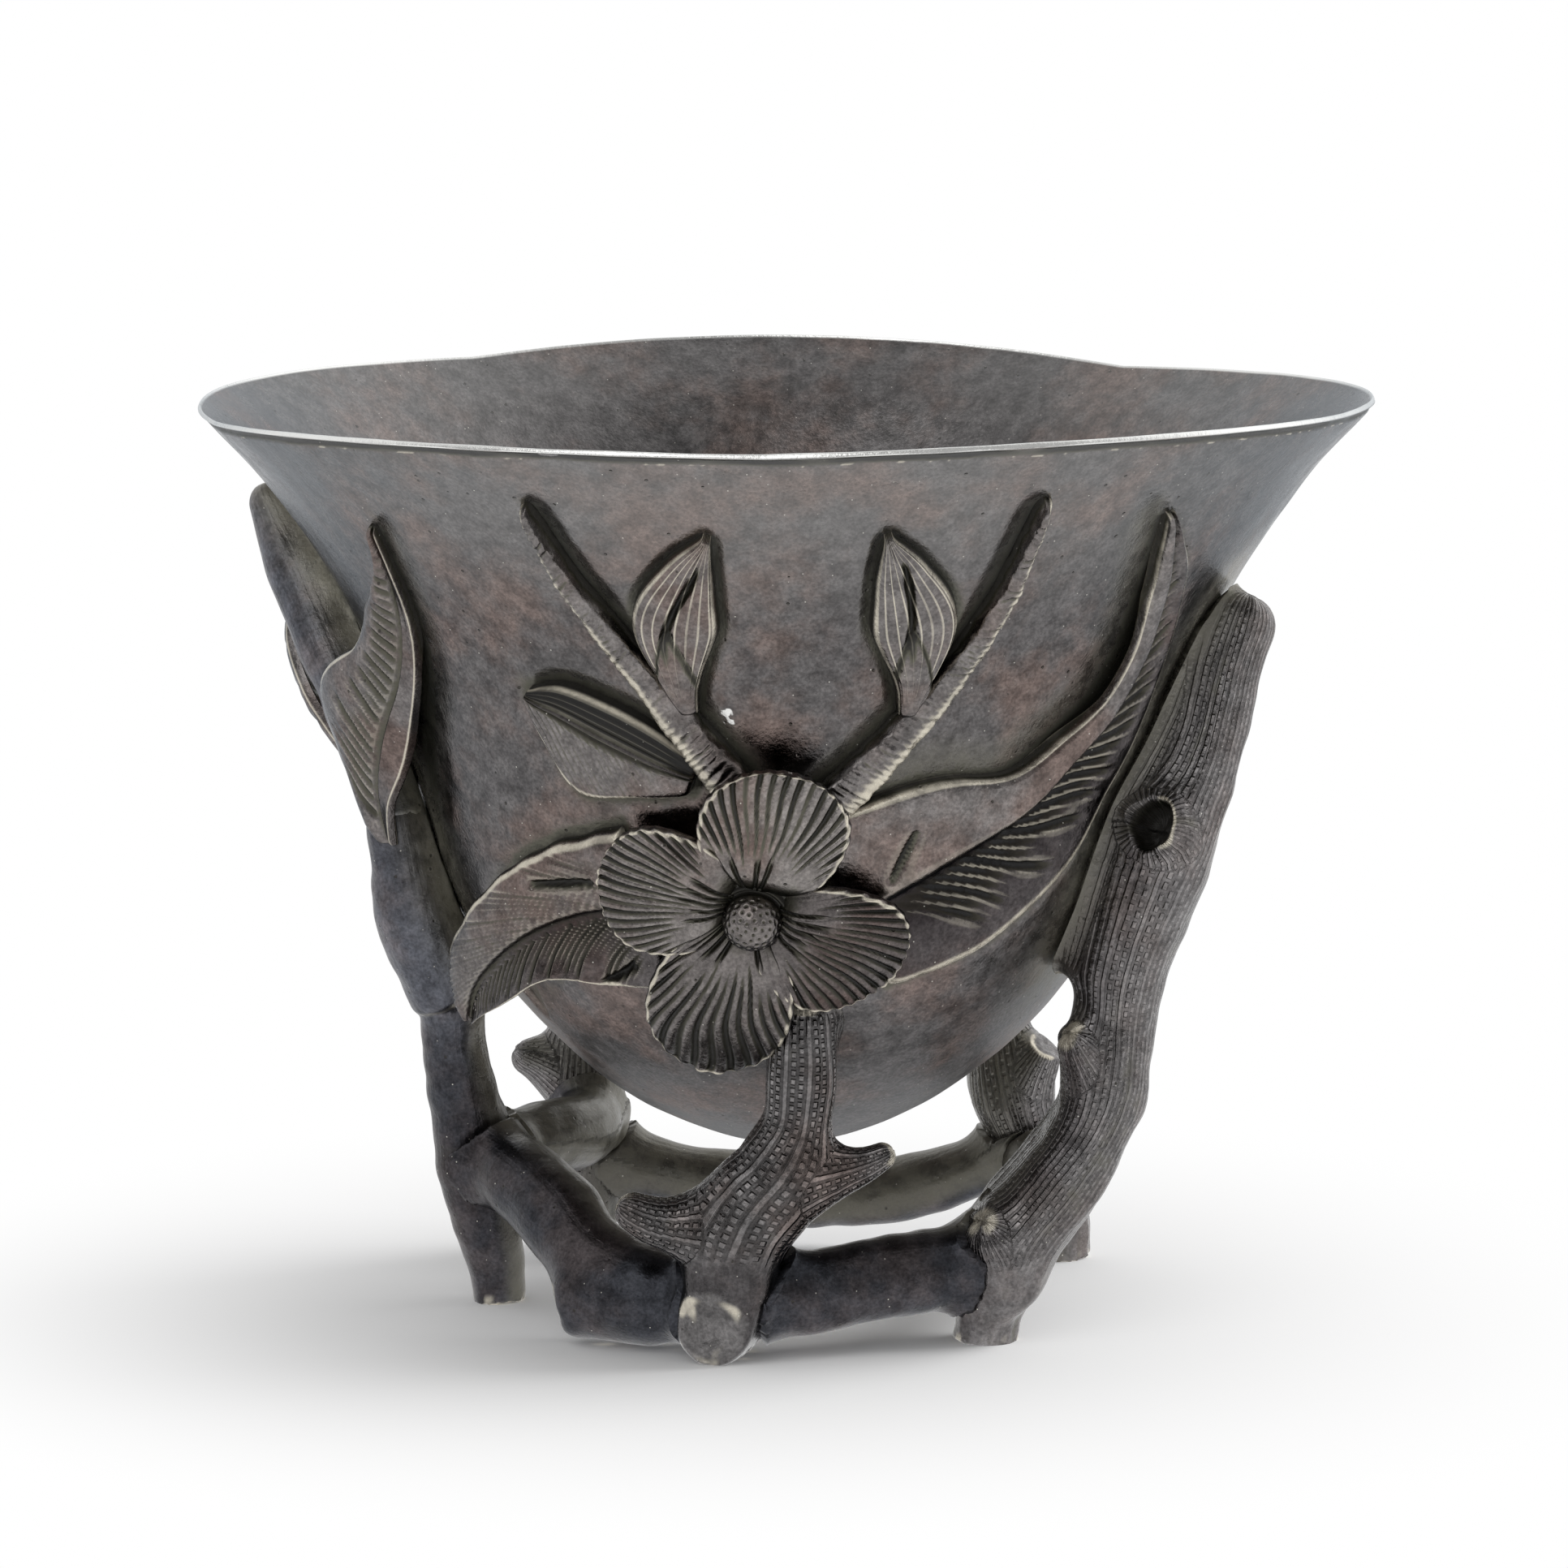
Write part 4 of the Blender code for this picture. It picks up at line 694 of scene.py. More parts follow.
def ground(points, tubes):
    """Depth to which the wall is cut back beside the laid pieces, and the grime and film that lie there.

    A moat is deepest at the outline of its piece and rises along an S curve over its reach.
    """
    depth = np.zeros(len(points))
    grime = np.zeros(len(points))
    film = np.zeros(len(points))
    for name, rows in {**TWIGS, **BUDS, **LEAVES}.items():
        row, centre, heading, left = midline(rows)
        near = nearest_station(points, centre)
        gap = points - centre[near]
        aside = (gap * left[near]).sum(axis=1)
        along = (gap * heading[near]).sum(axis=1)
        on_left = aside > 0.0
        half = np.where(on_left, row[near, 2], row[near, 3])
        past = np.where((near == 0) | (near == len(centre) - 1), np.abs(along), 0.0)
        off = np.hypot(np.maximum(np.abs(aside) - half, 0.0), past)
        off = np.where((gap**2).sum(axis=1) < NEAR_SIDE**2, off, FAR_OFF)
        left_depth, left_reach, right_depth, right_reach = MOATS[name]
        deep = np.where(on_left, left_depth, right_depth)
        reach = np.where(on_left, left_reach, right_reach)
        lifted = np.where(on_left, row[near, 4], row[near, 5])
        depth = np.maximum(depth, deep * fall(0.0, 1.0, off / reach))
        close = bell(off, 0.3 + 0.6 * deep) * (0.36 + 0.78 * deep)
        broad = deep * fall(0.2, 1.0, off / reach)
        grime = np.maximum(grime, np.maximum(close, 0.35 * broad) / (1.0 + 0.3 * lifted))
        film = np.maximum(film, broad)
    for tube in (tube for name in CLINGING for tube in tubes[name]):
        gap = np.maximum(near_tube(points, tube)[0], 0.0)
        film = np.maximum(film, bell(gap, FILM_REACH))
    return depth, grime, film


def make_bowl(chasing):
    """Grid of the bowl: rows run up the inner wall, over the lip and down the outer wall.

    The outer wall is the turned profile, lobed at the mouth and cut back beside the sprays. The inner
    wall lies inside it by the wall's thickness. Columns crowd towards the front of the cup.
    """
    columns, wall_rows, rim_rows, inner_rows = 500, 130, 28, 30
    turn = np.linspace(0.0, math.tau, columns, endpoint=False)
    azimuth = np.degrees(turn - 0.45 * np.sin(turn))
    lengths = np.append(0.0, np.cumsum(np.linalg.norm(np.diff(WALL, axis=0), axis=1)))
    share = lengths / lengths[-1]

    def profile(place):
        points = np.stack([np.interp(place, share, column) for column in WALL.T], axis=1)
        slope = unit(np.gradient(points, axis=0))
        return points, np.stack([-slope[:, 1], slope[:, 0]], axis=1)

    place = 1.0 - 0.996 * (1.0 - np.linspace(0.0, 1.0, inner_rows)) ** 1.8
    inside, inward = profile(place)
    thickness = BOTTOM_WALL + (TOP_WALL - BOTTOM_WALL) * place**2 - LIP_TAPER * smooth_step(0.93, 1.0, place)
    inside = inside + inward * thickness[:, None]
    inside[:, 0] = np.maximum(inside[:, 0], 0.05)
    stations = np.append(np.linspace(0.004, 0.965, wall_rows), np.linspace(0.967, 1.0, rim_rows))
    outside, _ = profile(stations)
    arc = np.linspace(0.0, np.pi, 9)[1:-1]
    middle = (inside[-1] + outside[-1]) / 2.0
    half = (outside[-1] - inside[-1]) / 2.0
    lip = middle - np.cos(arc)[:, None] * half + np.sin(arc)[:, None] * np.array([0.0, LIP_CROWN])
    turned = np.vstack([inside, lip, outside[::-1]])
    turned[:, 0] -= RIM_TRIM * smooth_step(TRIM_START, RIM_HEIGHT, turned[:, 1])
    rings = lobed(azimuth[None, :], turned[:, :1], turned[:, 1:])
    dents = ripple(rings, 11.0, 3) * 0.07 + ripple(rings, 4.0, 4) * 0.025
    fade = np.ones(len(turned))
    fade[inner_rows - 1:inner_rows + len(lip) + 2] = 0.5
    first_outer = inner_rows + len(lip)
    height = outside[::-1, 1]
    normal = np.zeros_like(rings)
    normal[first_outer:] = wall_normal(azimuth[None, :], height[:, None])
    normal[:first_outer] = unit(at(azimuth[None, :], -1.0, 0.6))
    depth = np.zeros(rings.shape[:2])
    grime = np.zeros(rings.shape[:2])
    cut, dirt, coat = ground(rings[first_outer:].reshape(-1, 3), branch_tubes())
    depth[first_outer:] = cut.reshape(-1, columns)
    grime[first_outer:] = dirt.reshape(-1, columns)
    film = np.zeros(rings.shape[:2])
    film[first_outer:] = coat.reshape(-1, columns)
    # A shallow dark groove below the lip, with grime and painted shade in it
    below_rim = np.zeros(len(turned))
    below_rim[first_outer:] = np.exp(-((RIM_HEIGHT - DARK_LINE - height) / 0.2) ** 4)
    dark_line = below_rim[:, None] * np.clip(0.95 + 0.4 * ripple(rings, 7.0, 5), 0.0, 1.0)
    depth += 0.2 * dark_line
    grime = np.maximum(grime, 0.95 * dark_line)
    rings = rings + normal * (dents * fade[:, None] - depth * chasing.moat_scale)[..., None]
    # Polish and painted sheen: the rubbed lip in full, a pale band near the rim outside, and a sheen inside
    # that grows towards the rim
    polish_and_sheen = np.zeros(len(turned))
    polish_and_sheen[:inner_rows] = 0.06 + 0.08 * smooth_step(0.8, 1.0, place)
    polish_and_sheen[inner_rows - 1:first_outer] = 1.0
    polish_and_sheen[first_outer:] = 0.1 * smooth_step(56.0, 69.0, height)
    flecks = np.zeros(len(turned))
    flecks[first_outer:] = 0.7 * bell(RIM_HEIGHT - FLECK_LINE - height, 0.08)
    wear = flecks[:, None] * smooth_step(0.2, 0.5, ripple(rings, 1.5, 6))
    piece = ring_piece("bowl", rings, grime, wear, shade=dark_line)
    # The painted sheen inside fades in the middle of the back of the bowl
    shine = np.ones(rings.shape[:2])
    shine[:inner_rows - 1] = 1.0 - 0.75 * bell(azimuth, 35.0, 180.0)
    paint(piece, "polish_and_sheen", np.append((polish_and_sheen[:, None] * shine).ravel(), (0.0, 0.0)))
    paint(piece, "film", np.append(film.ravel(), (0.0, 0.0)))
    spread = np.array([1.0, 1.0, 0.6])
    residue = np.exp(-(((rings - on_wall(*RESIDUE_PLACE)) * spread) ** 2).sum(axis=-1) / 0.7)
    residue[:first_outer] = 0.0
    # Painted shade inside the bowl, fading out just below the lip
    inner_shade = np.zeros(len(turned))
    inner_shade[:inner_rows] = fall(0.9, 1.0, place)
    paint(piece, "inner_shade", np.append(np.repeat(inner_shade, columns), (1.0, 0.0)))
    paint(piece, "residue", np.append(residue.ravel(), (0.0, 0.0)))
    return piece


def laid_rings(rows, grid, sink, relief):
    """Grid of a piece laid on the wall: rings run over the top from right to left and back beneath.

    A station lies on the smooth midline through the rows, and a point across it lies on the wall at a
    share of the half width. The relief gives the height of the top, which falls steeply at the margin
    along a superellipse. The underside is sunk into the wall, or hangs clear with the stand-off.
    """
    along, across = grid
    top = across - across // 5
    side = np.concatenate([-np.cos(np.linspace(0.0, np.pi, top)),
                           np.cos(np.linspace(0.0, np.pi, across - top + 2))[1:-1]])[None, :]
    share = (0.5 - 0.5 * np.cos(np.pi * np.linspace(0.0, 1.0, along)))[:, None]
    share = 0.6 * np.linspace(0.0, 1.0, along)[:, None] + 0.4 * share
    row = flow(rows, share[:, 0])
    centre = on_wall(row[:, 0], row[:, 1])
    step = np.linalg.norm(np.diff(centre, axis=0), axis=1)
    length = np.append(0.0, np.cumsum(step))[:, None]
    heading = unit(np.gradient(centre, axis=0))
    left = unit(np.cross(wall_normal(row[:, 0], row[:, 1]), heading))
    half = np.where(side > 0.0, row[:, 2:3], row[:, 3:4])
    spot = centre[:, None] + left[:, None] * (side * half)[..., None]
    azimuth = azimuth_of(spot)
    height = spot[..., 2]
    normal = wall_normal(azimuth, height)
    stand = row[:, 5:6] + (row[:, 4:5] - row[:, 5:6]) * (side + 1.0) / 2.0
    hangs = smooth_step(0.1, 0.6, stand)
    rise = relief(share, side, length, half, azimuth, height)
    margin = np.sqrt(np.maximum(0.0, 1.0 - np.abs(side) ** 16))
    tip = np.sqrt(np.maximum(0.0, 1.0 - np.abs(2.0 * share - 1.0) ** 60))
    under = -sink * (1.0 - hangs)
    under = under + hangs * (rise - THIN_LEAF)
    is_top = (np.arange(across) < top)[None, :]
    lift = np.where(is_top, under + (rise - under) * margin * tip, under)
    out = unit(np.concatenate([spot[..., :2], np.zeros_like(spot[..., :1])], axis=-1))
    rings = on_wall(azimuth, height) + out * stand[..., None] + normal * lift[..., None]
    contact = np.exp(-np.maximum(lift + 0.1, 0.0) / 0.28) * (1.0 - hangs)
    return rings, np.where(is_top, contact, 0.5), share, side, length


def from_middle(rings):
    """Directions from the middle of each ring to its points."""
    return unit(rings - rings.mean(axis=1, keepdims=True))


def comb(phase, width):
    """Narrow grooves, one per unit of phase: 1 in the middle of a groove, falling off as a bell."""
    off = np.abs(phase - np.round(phase))
    return bell(off, width)


def chance(index, seed):
    """Steady random number from 0 to 1 for a whole-number index."""
    return np.modf(np.abs(np.sin(index * 12.9898 + seed * 78.233) * 43758.5453))[0]


def slot_cut(slots, azimuth, height):
    """Bell-shaped groove along straight slots given by azimuth and height of their ends."""
    cut = np.zeros_like(height)
    for (azimuth_a, height_a), (azimuth_b, height_b) in slots:
        radius = wall_radius(height)
        across = np.radians(azimuth - azimuth_a) * radius
        span = np.radians(azimuth_b - azimuth_a) * radius
        rise = height_b - height_a
        t = np.clip((across * span + (height - height_a) * rise) / (span**2 + rise**2), 0.0, 1.0)
        off = np.hypot(across - t * span, height - height_a - t * rise)
        cut = np.maximum(cut, bell(off, SLOT_WIDTH) * (0.45 + 0.55 * np.sin(np.pi * (0.1 + 0.8 * t))))
    return cut


def sink_of(name):
    """How far the underside of a laid piece goes down, below its deeper ground."""
    return max(MOATS[name][0], MOATS[name][2]) + SINK


def make_leaf(name, rows, chasing):
    """Leaf: two halves with their own heights, parted by a rib groove, with oblique vein grooves and rims.

    The half that lies lower beside the rib carries painted shade there.
    """
    form = LEAF_FORMS[name]
    carving = {}

    def relief(share, side, length, half, azimuth, height):
        across = np.where(side > form.rib, (side - form.rib) / (1.0 - form.rib),
                          (side - form.rib) / (1.0 + form.rib))
        away = np.abs(across)
        to_left = 0.5 + 0.5 * np.tanh(across / 0.06)
        rise = 0.0
        vein = 0.0
        lit = 0.0
        phase = (length - form.slant * away * half * (1.0 - 0.25 * away)) / form.pitch
        luck = chance(np.round(phase), 7)
        reach = form.reach * (0.75 + 0.5 * luck)
        stroke = comb(phase, 0.33) * smooth_step(0.02, 0.12, away) * (0.6 + 0.6 * luck)
        stroke = stroke * fall(reach - 0.3, reach + 0.05, away)
        stroke = stroke * smooth_step(0.03, 0.12, share) * fall(0.86, 0.97, share)
        stroke = stroke * (1.0 - 0.35 * smooth_step(0.5, 0.8, share))
        between = comb(phase + 0.5, 0.2) * smooth_step(0.02, 0.12, away)
        between = between * fall(reach - 0.3, reach, away)
        for weight, half_form in ((to_left, form.left), (1.0 - to_left, form.right)):
            level = half_form.root + (half_form.margin - half_form.root) * away
            level = level + half_form.swell * np.sin(np.pi * away)
            level = level + half_form.rim * bell(away, 0.04, 0.96)
            rise = rise + weight * level
            vein = vein + weight * half_form.vein * stroke
            lit = lit + weight * half_form.vein * between
        slots = 0.8 * slot_cut(LEAF_SLOTS.get(name, ()), azimuth, height)
        slots = slots * fall(0.88, 0.96, away)
        rib = form.groove * bell(across, 0.05)
        step = form.left.root - form.right.root
        lower = np.where(across < 0.0, 1.0, -1.0) * step
        carving["shade"] = np.maximum(lower, 0.0) * (0.6 + 0.4 * bell(away, 0.5))
        carving["shade"] = carving["shade"] * (1.0 - 0.6 * smooth_step(0.35, 0.8, share))
        carving["dirt"] = vein * 2.2 + rib * 1.5 + slots * 1.6
        carving["lit"] = LIT_VEINS * lit * smooth_step(0.05, 0.15, share) * fall(0.4, 0.6, share)
        # Painted sheen in the worn colour over the outer part of the higher half
        sheen = 0.3 * np.maximum(-lower, 0.0) * smooth_step(0.45, 0.9, away)
        carving["sheen"] = sheen * smooth_step(0.1, 0.5, share)
        full = np.minimum(1.0, half / 2.2)
        return (rise - vein * chasing.vein_scale - rib) * (0.55 + 0.45 * full) - slots

    rings, grime, share, side, _ = laid_rings(wavy(rows, name), LEAF_GRID, sink_of(name), relief)
    rings = rings + 0.02 * ripple(rings, 2.5, 11)[..., None] * from_middle(rings)
    on_right = side < 0.0
    # Worn colour along the margins: wear, and a painted highlight on the rolled rims
    edge = bell(np.abs(side), np.where(on_right, 0.045, 0.034), np.where(on_right, 0.92, 0.95))
    edge = edge * fall(0.97, 1.0, share)
    wear = np.maximum(0.8 * edge, np.maximum(carving["sheen"], carving["lit"]))
    return ring_piece(name, rings, np.maximum(grime, carving["dirt"]), wear, crests=0.45,
                      shade=(carving["shade"] + LEAF_SHADES.get(name, 0.0)) * (1.0 - edge))


def wavy(rows, name):
    """Rows with finer stations and a slightly uneven margin, from three seeded waves along each side."""
    share = np.linspace(0.0, 1.0, 8 * len(rows))
    fine = flow(rows, share)
    dice = np.random.default_rng(sum(map(ord, name)))
    turns = dice.uniform(2.0, 9.0, (3, 2))
    phase = dice.uniform(0.0, math.tau, (3, 2))
    waves = np.sin(math.tau * share[:, None, None] * turns + phase).sum(axis=1)
    fine[:, 2:4] = np.maximum(fine[:, 2:4] * (1.0 + 0.005 * waves), 0.05)
    return fine


def make_bud(name, rows):
    """Bud: rounded sepals with a cleft between them, fine raised lines that meet at the ends, and a bract.

    The bract is a small leaf-shaped step at the foot of the bud. The bud on the side has no bract; its
    upper face carries long ridges in the dark, and its lower face is hatched.
    """
    on_side = name == "side_bud"
    carving = {}

    def relief(share, side, length, half, azimuth, height):
        full = np.minimum(1.0, half / 1.8)
        body = 0.7 + 0.6 * np.sqrt(np.maximum(0.0, 1.0 - side**2))
        if on_side:
            ridges = comb(side * 5.2 + 0.3, 0.2) * smooth_step(0.05, 0.2, share) * (side < 0.12)
            furrow = bell(side, 0.07, -0.28) + 0.8 * bell(side, 0.06, -0.02)
            dark = fall(-0.45, -0.3, side)
            face = smooth_step(0.0, 0.12, side)
            hatch = comb((length + 1.2 * side * half) / 0.75, 0.2) * face * smooth_step(0.1, 0.3, share)
            body = body + face * (1.15 - body) * (0.35 + 0.65 * full)
            carving["dirt"] = 0.8 * furrow + 0.75 * dark + 0.2 * (side < 0.1) + 0.35 * hatch
            carving["wear"] = 0.5 * ridges * (1.0 - 0.5 * dark)
            carving["shade"] = 0.75 * (1.0 - face) * (1.0 - ridges)
            return (body + 0.14 * ridges - 0.45 * furrow - 0.35 * dark - 0.08 * hatch) * (0.6 + 0.4 * full)
        cleft_line = 0.3 * np.sin(math.tau * share * 0.7) - 0.1
        off = (side - cleft_line) * half
        open_part = smooth_step(0.34, 0.46, share) * fall(0.74, 0.9, share)
        cleft = 0.8 * bell(off, 0.24) * open_part
        lines = comb(side * 4.0 + 0.25, 0.1) * smooth_step(0.06, 0.2, share)
        bract_half = 1.5 * np.sin(np.pi * np.clip((share + 0.12) / 0.62, 0.0, 1.0)) ** 0.8
        inside = smooth_step(-0.12, 0.12, bract_half - np.abs((side - 0.12) * half))
        outline = bell(bract_half - np.abs((side - 0.12) * half), 0.16) * (share < 0.5)
        carving["dirt"] = cleft * 1.2 + 0.12 + 0.7 * outline
        carving["wear"] = 0.8 * lines * (1.0 - 0.6 * inside)
        carving["shade"] = np.zeros_like(lines)
        body = body + 0.09 * lines - cleft * (1.0 - inside) + 0.35 * inside - 0.15 * outline
        return body * (0.6 + 0.4 * full)

    rings, grime, _, side, _ = laid_rings(rows, BUD_GRID, sink_of(name), relief)
    wear = np.maximum(carving["wear"], 0.9 * bell(np.abs(side), 0.06, 0.9))
    return ring_piece(name, rings, np.maximum(grime, carving["dirt"]), wear, crests=0.22,
                      shade=carving["shade"])


def make_twig(name, rows, chasing):
    """Twig: a low round hammered back with short strokes cut across it, rubbed bright on its outer side."""
    carving = {}
    outward = 1.0 if MOATS[name][0] < MOATS[name][2] else -1.0

    def relief(share, side, length, half, azimuth, height):
        lane = side * outward
        phase = length / 0.6 + side * 0.5 + 0.3 * np.sin(length * 1.7)
        strokes = comb(phase, 0.2) * smooth_step(-0.95, -0.5, lane) * fall(0.75, 0.95, lane)
        strokes = strokes * (0.4 + 0.6 * chance(np.round(phase), 5))
        carving["strokes"] = strokes
        return 0.4 + 0.85 * np.sqrt(np.maximum(0.0, 1.0 - side**2)) - 0.22 * strokes * chasing.vein_scale

    rings, grime, _, side, _ = laid_rings(rows, TWIG_GRID, sink_of(name), relief)
    hammered = 0.08 * ripple(rings, 2.2, 12) + 0.06 * ripple(rings, 1.0, 13)
    rings = rings + hammered[..., None] * from_middle(rings)
    lane = side * outward
    wear = 0.95 * bell(lane, 0.24, 0.62) + 0.4 * smooth_step(-0.3, 0.2, lane) * (lane < 0.9)
    wear = wear * (1.0 - 0.7 * carving["strokes"])
    return ring_piece(name, rings, np.maximum(grime, 0.45 * carving["strokes"]), wear, crests=0.15)


def petal_rows(turn, rise, half_width):
    """Midline rows of a petal: its half width follows one half ellipse inwards and another outwards."""
    centre = on_wall(BLOSSOM_AZIMUTH, BLOSSOM_HEIGHT)
    length = np.linalg.norm(on_wall(BLOSSOM_AZIMUTH + turn, BLOSSOM_HEIGHT + rise) - centre)
    start = 1.2 / length
    share = 0.5 - 0.5 * np.cos(np.pi * np.linspace(0.0, 1.0, 41))
    along = start + (1.0 - start) * share
    arc = np.where(share < PETAL_WIDEST, PETAL_INNER_ARC, 1.0 - PETAL_WIDEST)
    width = half_width * np.sqrt(np.maximum(0.0, 1.0 - ((share - PETAL_WIDEST) / arc) ** 2))
    width = np.maximum(width, 0.12)
    stand = PETAL_STAND + 0.9 * np.sin(np.pi * np.minimum(along, 0.95)) - PETAL_DROOP * along
    return np.stack([BLOSSOM_AZIMUTH + turn * along, BLOSSOM_HEIGHT + rise * along, width, width,
                     stand, stand], axis=1), start * length


def make_petal(name, turn, rise, half_width, chasing):
    """Petal: a dished fan with grooves about the blossom's centre, a plain rim and slits at its root."""
    rows, start = petal_rows(turn, rise, half_width)
    carving = {}
    seed = len(name)
    depth = chasing.flute_depth / MM

    def relief(share, side, length, half, azimuth, height):
        reach = start + length
        fan = np.arctan2(side * half, reach)
        phase = fan / math.pi * chasing.flutes + 0.15 * np.sin(reach * 0.8 + seed + 3.0 * fan)
        index = np.round(phase)
        luck = chance(index, seed)
        border = np.maximum(np.abs(side), share)
        stroke = comb(phase, 0.2) * fall(0.88 + 0.08 * luck, 0.97 + 0.03 * luck, border)
        stroke = stroke * smooth_step(0.26 + 0.12 * luck, 0.42 + 0.12 * luck, share)
        wide = fan / math.pi * (chasing.flutes / 2.4) + 0.5 * seed
        pick = chance(np.round(wide), seed + 1)
        slit = comb(wide, 0.2) * (pick > 0.35) * smooth_step(0.1, 0.17, share)
        slit = 0.5 * slit * fall(0.22 + 0.14 * pick, 0.32 + 0.16 * pick, share)
        groove = stroke * depth * (0.6 + 0.6 * chance(index, seed + 3))
        dish = 0.45 * smooth_step(0.1, 0.9, share) + 0.12 * bell(border, 0.05, 0.96)
        dish = dish - 1.3 * fall(0.05, 0.3, share)
        root = fall(0.08, 0.4, share)
        carving["dirt"] = np.maximum(groove * 3.4, slit * 1.5) + 0.5 * root
        carving["wear"] = 0.9 * bell(border, 0.032, 0.945) * (1.0 - stroke) * (1.0 - root)
        return 0.7 + dish - groove - slit

    rings, grime, share, side, length = laid_rings(rows, PETAL_GRID, 0.0, relief)
    half = flow(rows, share[:, 0])[:, 2:3]
    fan = np.arctan2(side * half, start + length) / math.pi * chasing.flutes
    scallop = 0.06 * np.cos(math.tau * fan) * smooth_step(0.6, 0.95, np.maximum(np.abs(side), share))
    centre = on_wall(BLOSSOM_AZIMUTH, BLOSSOM_HEIGHT)
    rings = rings - unit(rings - centre) * scallop[..., None]
    dim = np.full(rings.shape[:2], PETAL_SHADES.get(name, 0.0))
    return ring_piece(name, rings, carving["dirt"] * (grime < 0.45), carving["wear"], crests=0.32, shade=dim)


def on_blossom(points):
    """Points built about Z, stood on the wall at the blossom's centre."""
    normal = wall_normal(BLOSSOM_AZIMUTH, BLOSSOM_HEIGHT)
    across = unit(np.cross((0.0, 0.0, 1.0), normal))
    frame_axes = np.stack([across, np.cross(normal, across), normal])
    return on_wall(BLOSSOM_AZIMUTH, BLOSSOM_HEIGHT) + points @ frame_axes


def turned_rings(radius, height, columns):
    """Rings of a turned shape about Z."""
    turn = np.linspace(0.0, math.tau, columns, endpoint=False)[None, :]
    return np.stack(np.broadcast_arrays(radius[:, None] * np.cos(turn), radius[:, None] * np.sin(turn),
                                        height[:, None]), axis=-1)


def make_stamens():
    """Dome of stamens: a low half ball in a ring groove, pricked with pits set in a sunflower spiral."""
    knob = 2.35
    swing = np.linspace(0.02, 0.5 * np.pi, 60)
    shoulder = np.linspace(knob, STAMEN_RADIUS + 0.25, 14)
    radius = np.concatenate([knob * np.sin(swing), shoulder, np.full(8, STAMEN_RADIUS + 0.3)])
    height = np.concatenate([STAMEN_STAND + STAMEN_HEIGHT * np.cos(swing),
                             STAMEN_STAND + 0.35 * np.sin(np.linspace(0.0, np.pi, 14)) ** 2,
                             np.linspace(STAMEN_STAND - 0.1, -1.0, 8)])
    rings = turned_rings(radius, height, 130)
    count = np.arange(STAMEN_PITS)
    lean = np.sqrt((count + 0.5) / STAMEN_PITS) * 1.25
    spin = count * math.radians(GOLDEN_ANGLE)
    pits = np.stack([knob * np.sin(lean) * np.cos(spin), knob * np.sin(lean) * np.sin(spin),
                     STAMEN_STAND + STAMEN_HEIGHT * np.cos(lean)], axis=-1)
    gap = np.linalg.norm(rings[:, :, None, :] - pits, axis=-1).min(axis=-1)
    pit = bell(gap, 0.13)
    away = unit(rings - np.array([0.0, 0.0, STAMEN_STAND - 1.0]))
    rings = rings - away * (0.12 * pit)[..., None]
    low = fall(STAMEN_STAND + 0.1, STAMEN_STAND + 0.9, rings[..., 2])
    return ring_piece("stamen_dome", on_blossom(rings), np.maximum(0.75 * pit, low), 0.12 * (1.0 - pit),
                      shade=np.full_like(pit, DOME_SHADE))


def make_boss():
    """Boss under the petals: a short drum, sunk into the wall, with a rounded shoulder."""
    swing = np.linspace(0.03, 0.5 * np.pi, 16)
    radius = np.append((BOSS_RADIUS - 1.0) + np.sin(swing) - np.sin(swing[0]), np.full(10, BOSS_RADIUS))
    radius = np.append(np.linspace(0.1, BOSS_RADIUS - 1.0, 10), radius)
    height = np.append(1.5 + np.cos(swing), np.linspace(1.4, -1.0, 10))
    height = np.append(np.full(10, 2.5), height)
    rings = on_blossom(turned_rings(radius, height, 96))
    rings = rings + 0.05 * ripple(rings, 2.0, 21)[..., None]
    dirty = np.full(rings.shape[:2], 0.9)
    return ring_piece("blossom_boss", rings, dirty, np.zeros_like(dirty))


Tube = namedtuple("Tube", "centre radius taper heading out side place bevels")


# Distance between the stations of a branch
STATION_STEP = 0.7


def make_tube(rows, bevels):
    """Stations at even steps along a branch: centre, radius, heading, and two directions across it."""
    azimuth, reach, height, radius = np.array(rows).T
    stations = np.column_stack([at(azimuth, reach, height), radius])
    rough = np.linalg.norm(np.diff(stations[:, :3], axis=0), axis=1).sum()
    count = max(8, round(rough / STATION_STEP))
    line = flow(stations, np.linspace(0.0, 1.0, count))
    centre = line[:, :3]
    heading = unit(np.gradient(centre, axis=0))
    place = np.append(0.0, np.cumsum(np.linalg.norm(np.diff(centre, axis=0), axis=1)))
    radial = unit(centre * np.array([1.0, 1.0, 0.0]) + np.array([0.0, 0.0, -0.15]))
    out = unit(radial - heading * (radial * heading).sum(axis=1, keepdims=True))
    taper = np.gradient(line[:, 3], place)
    return Tube(centre, line[:, 3], taper, heading, out, np.cross(heading, out), place, bevels)


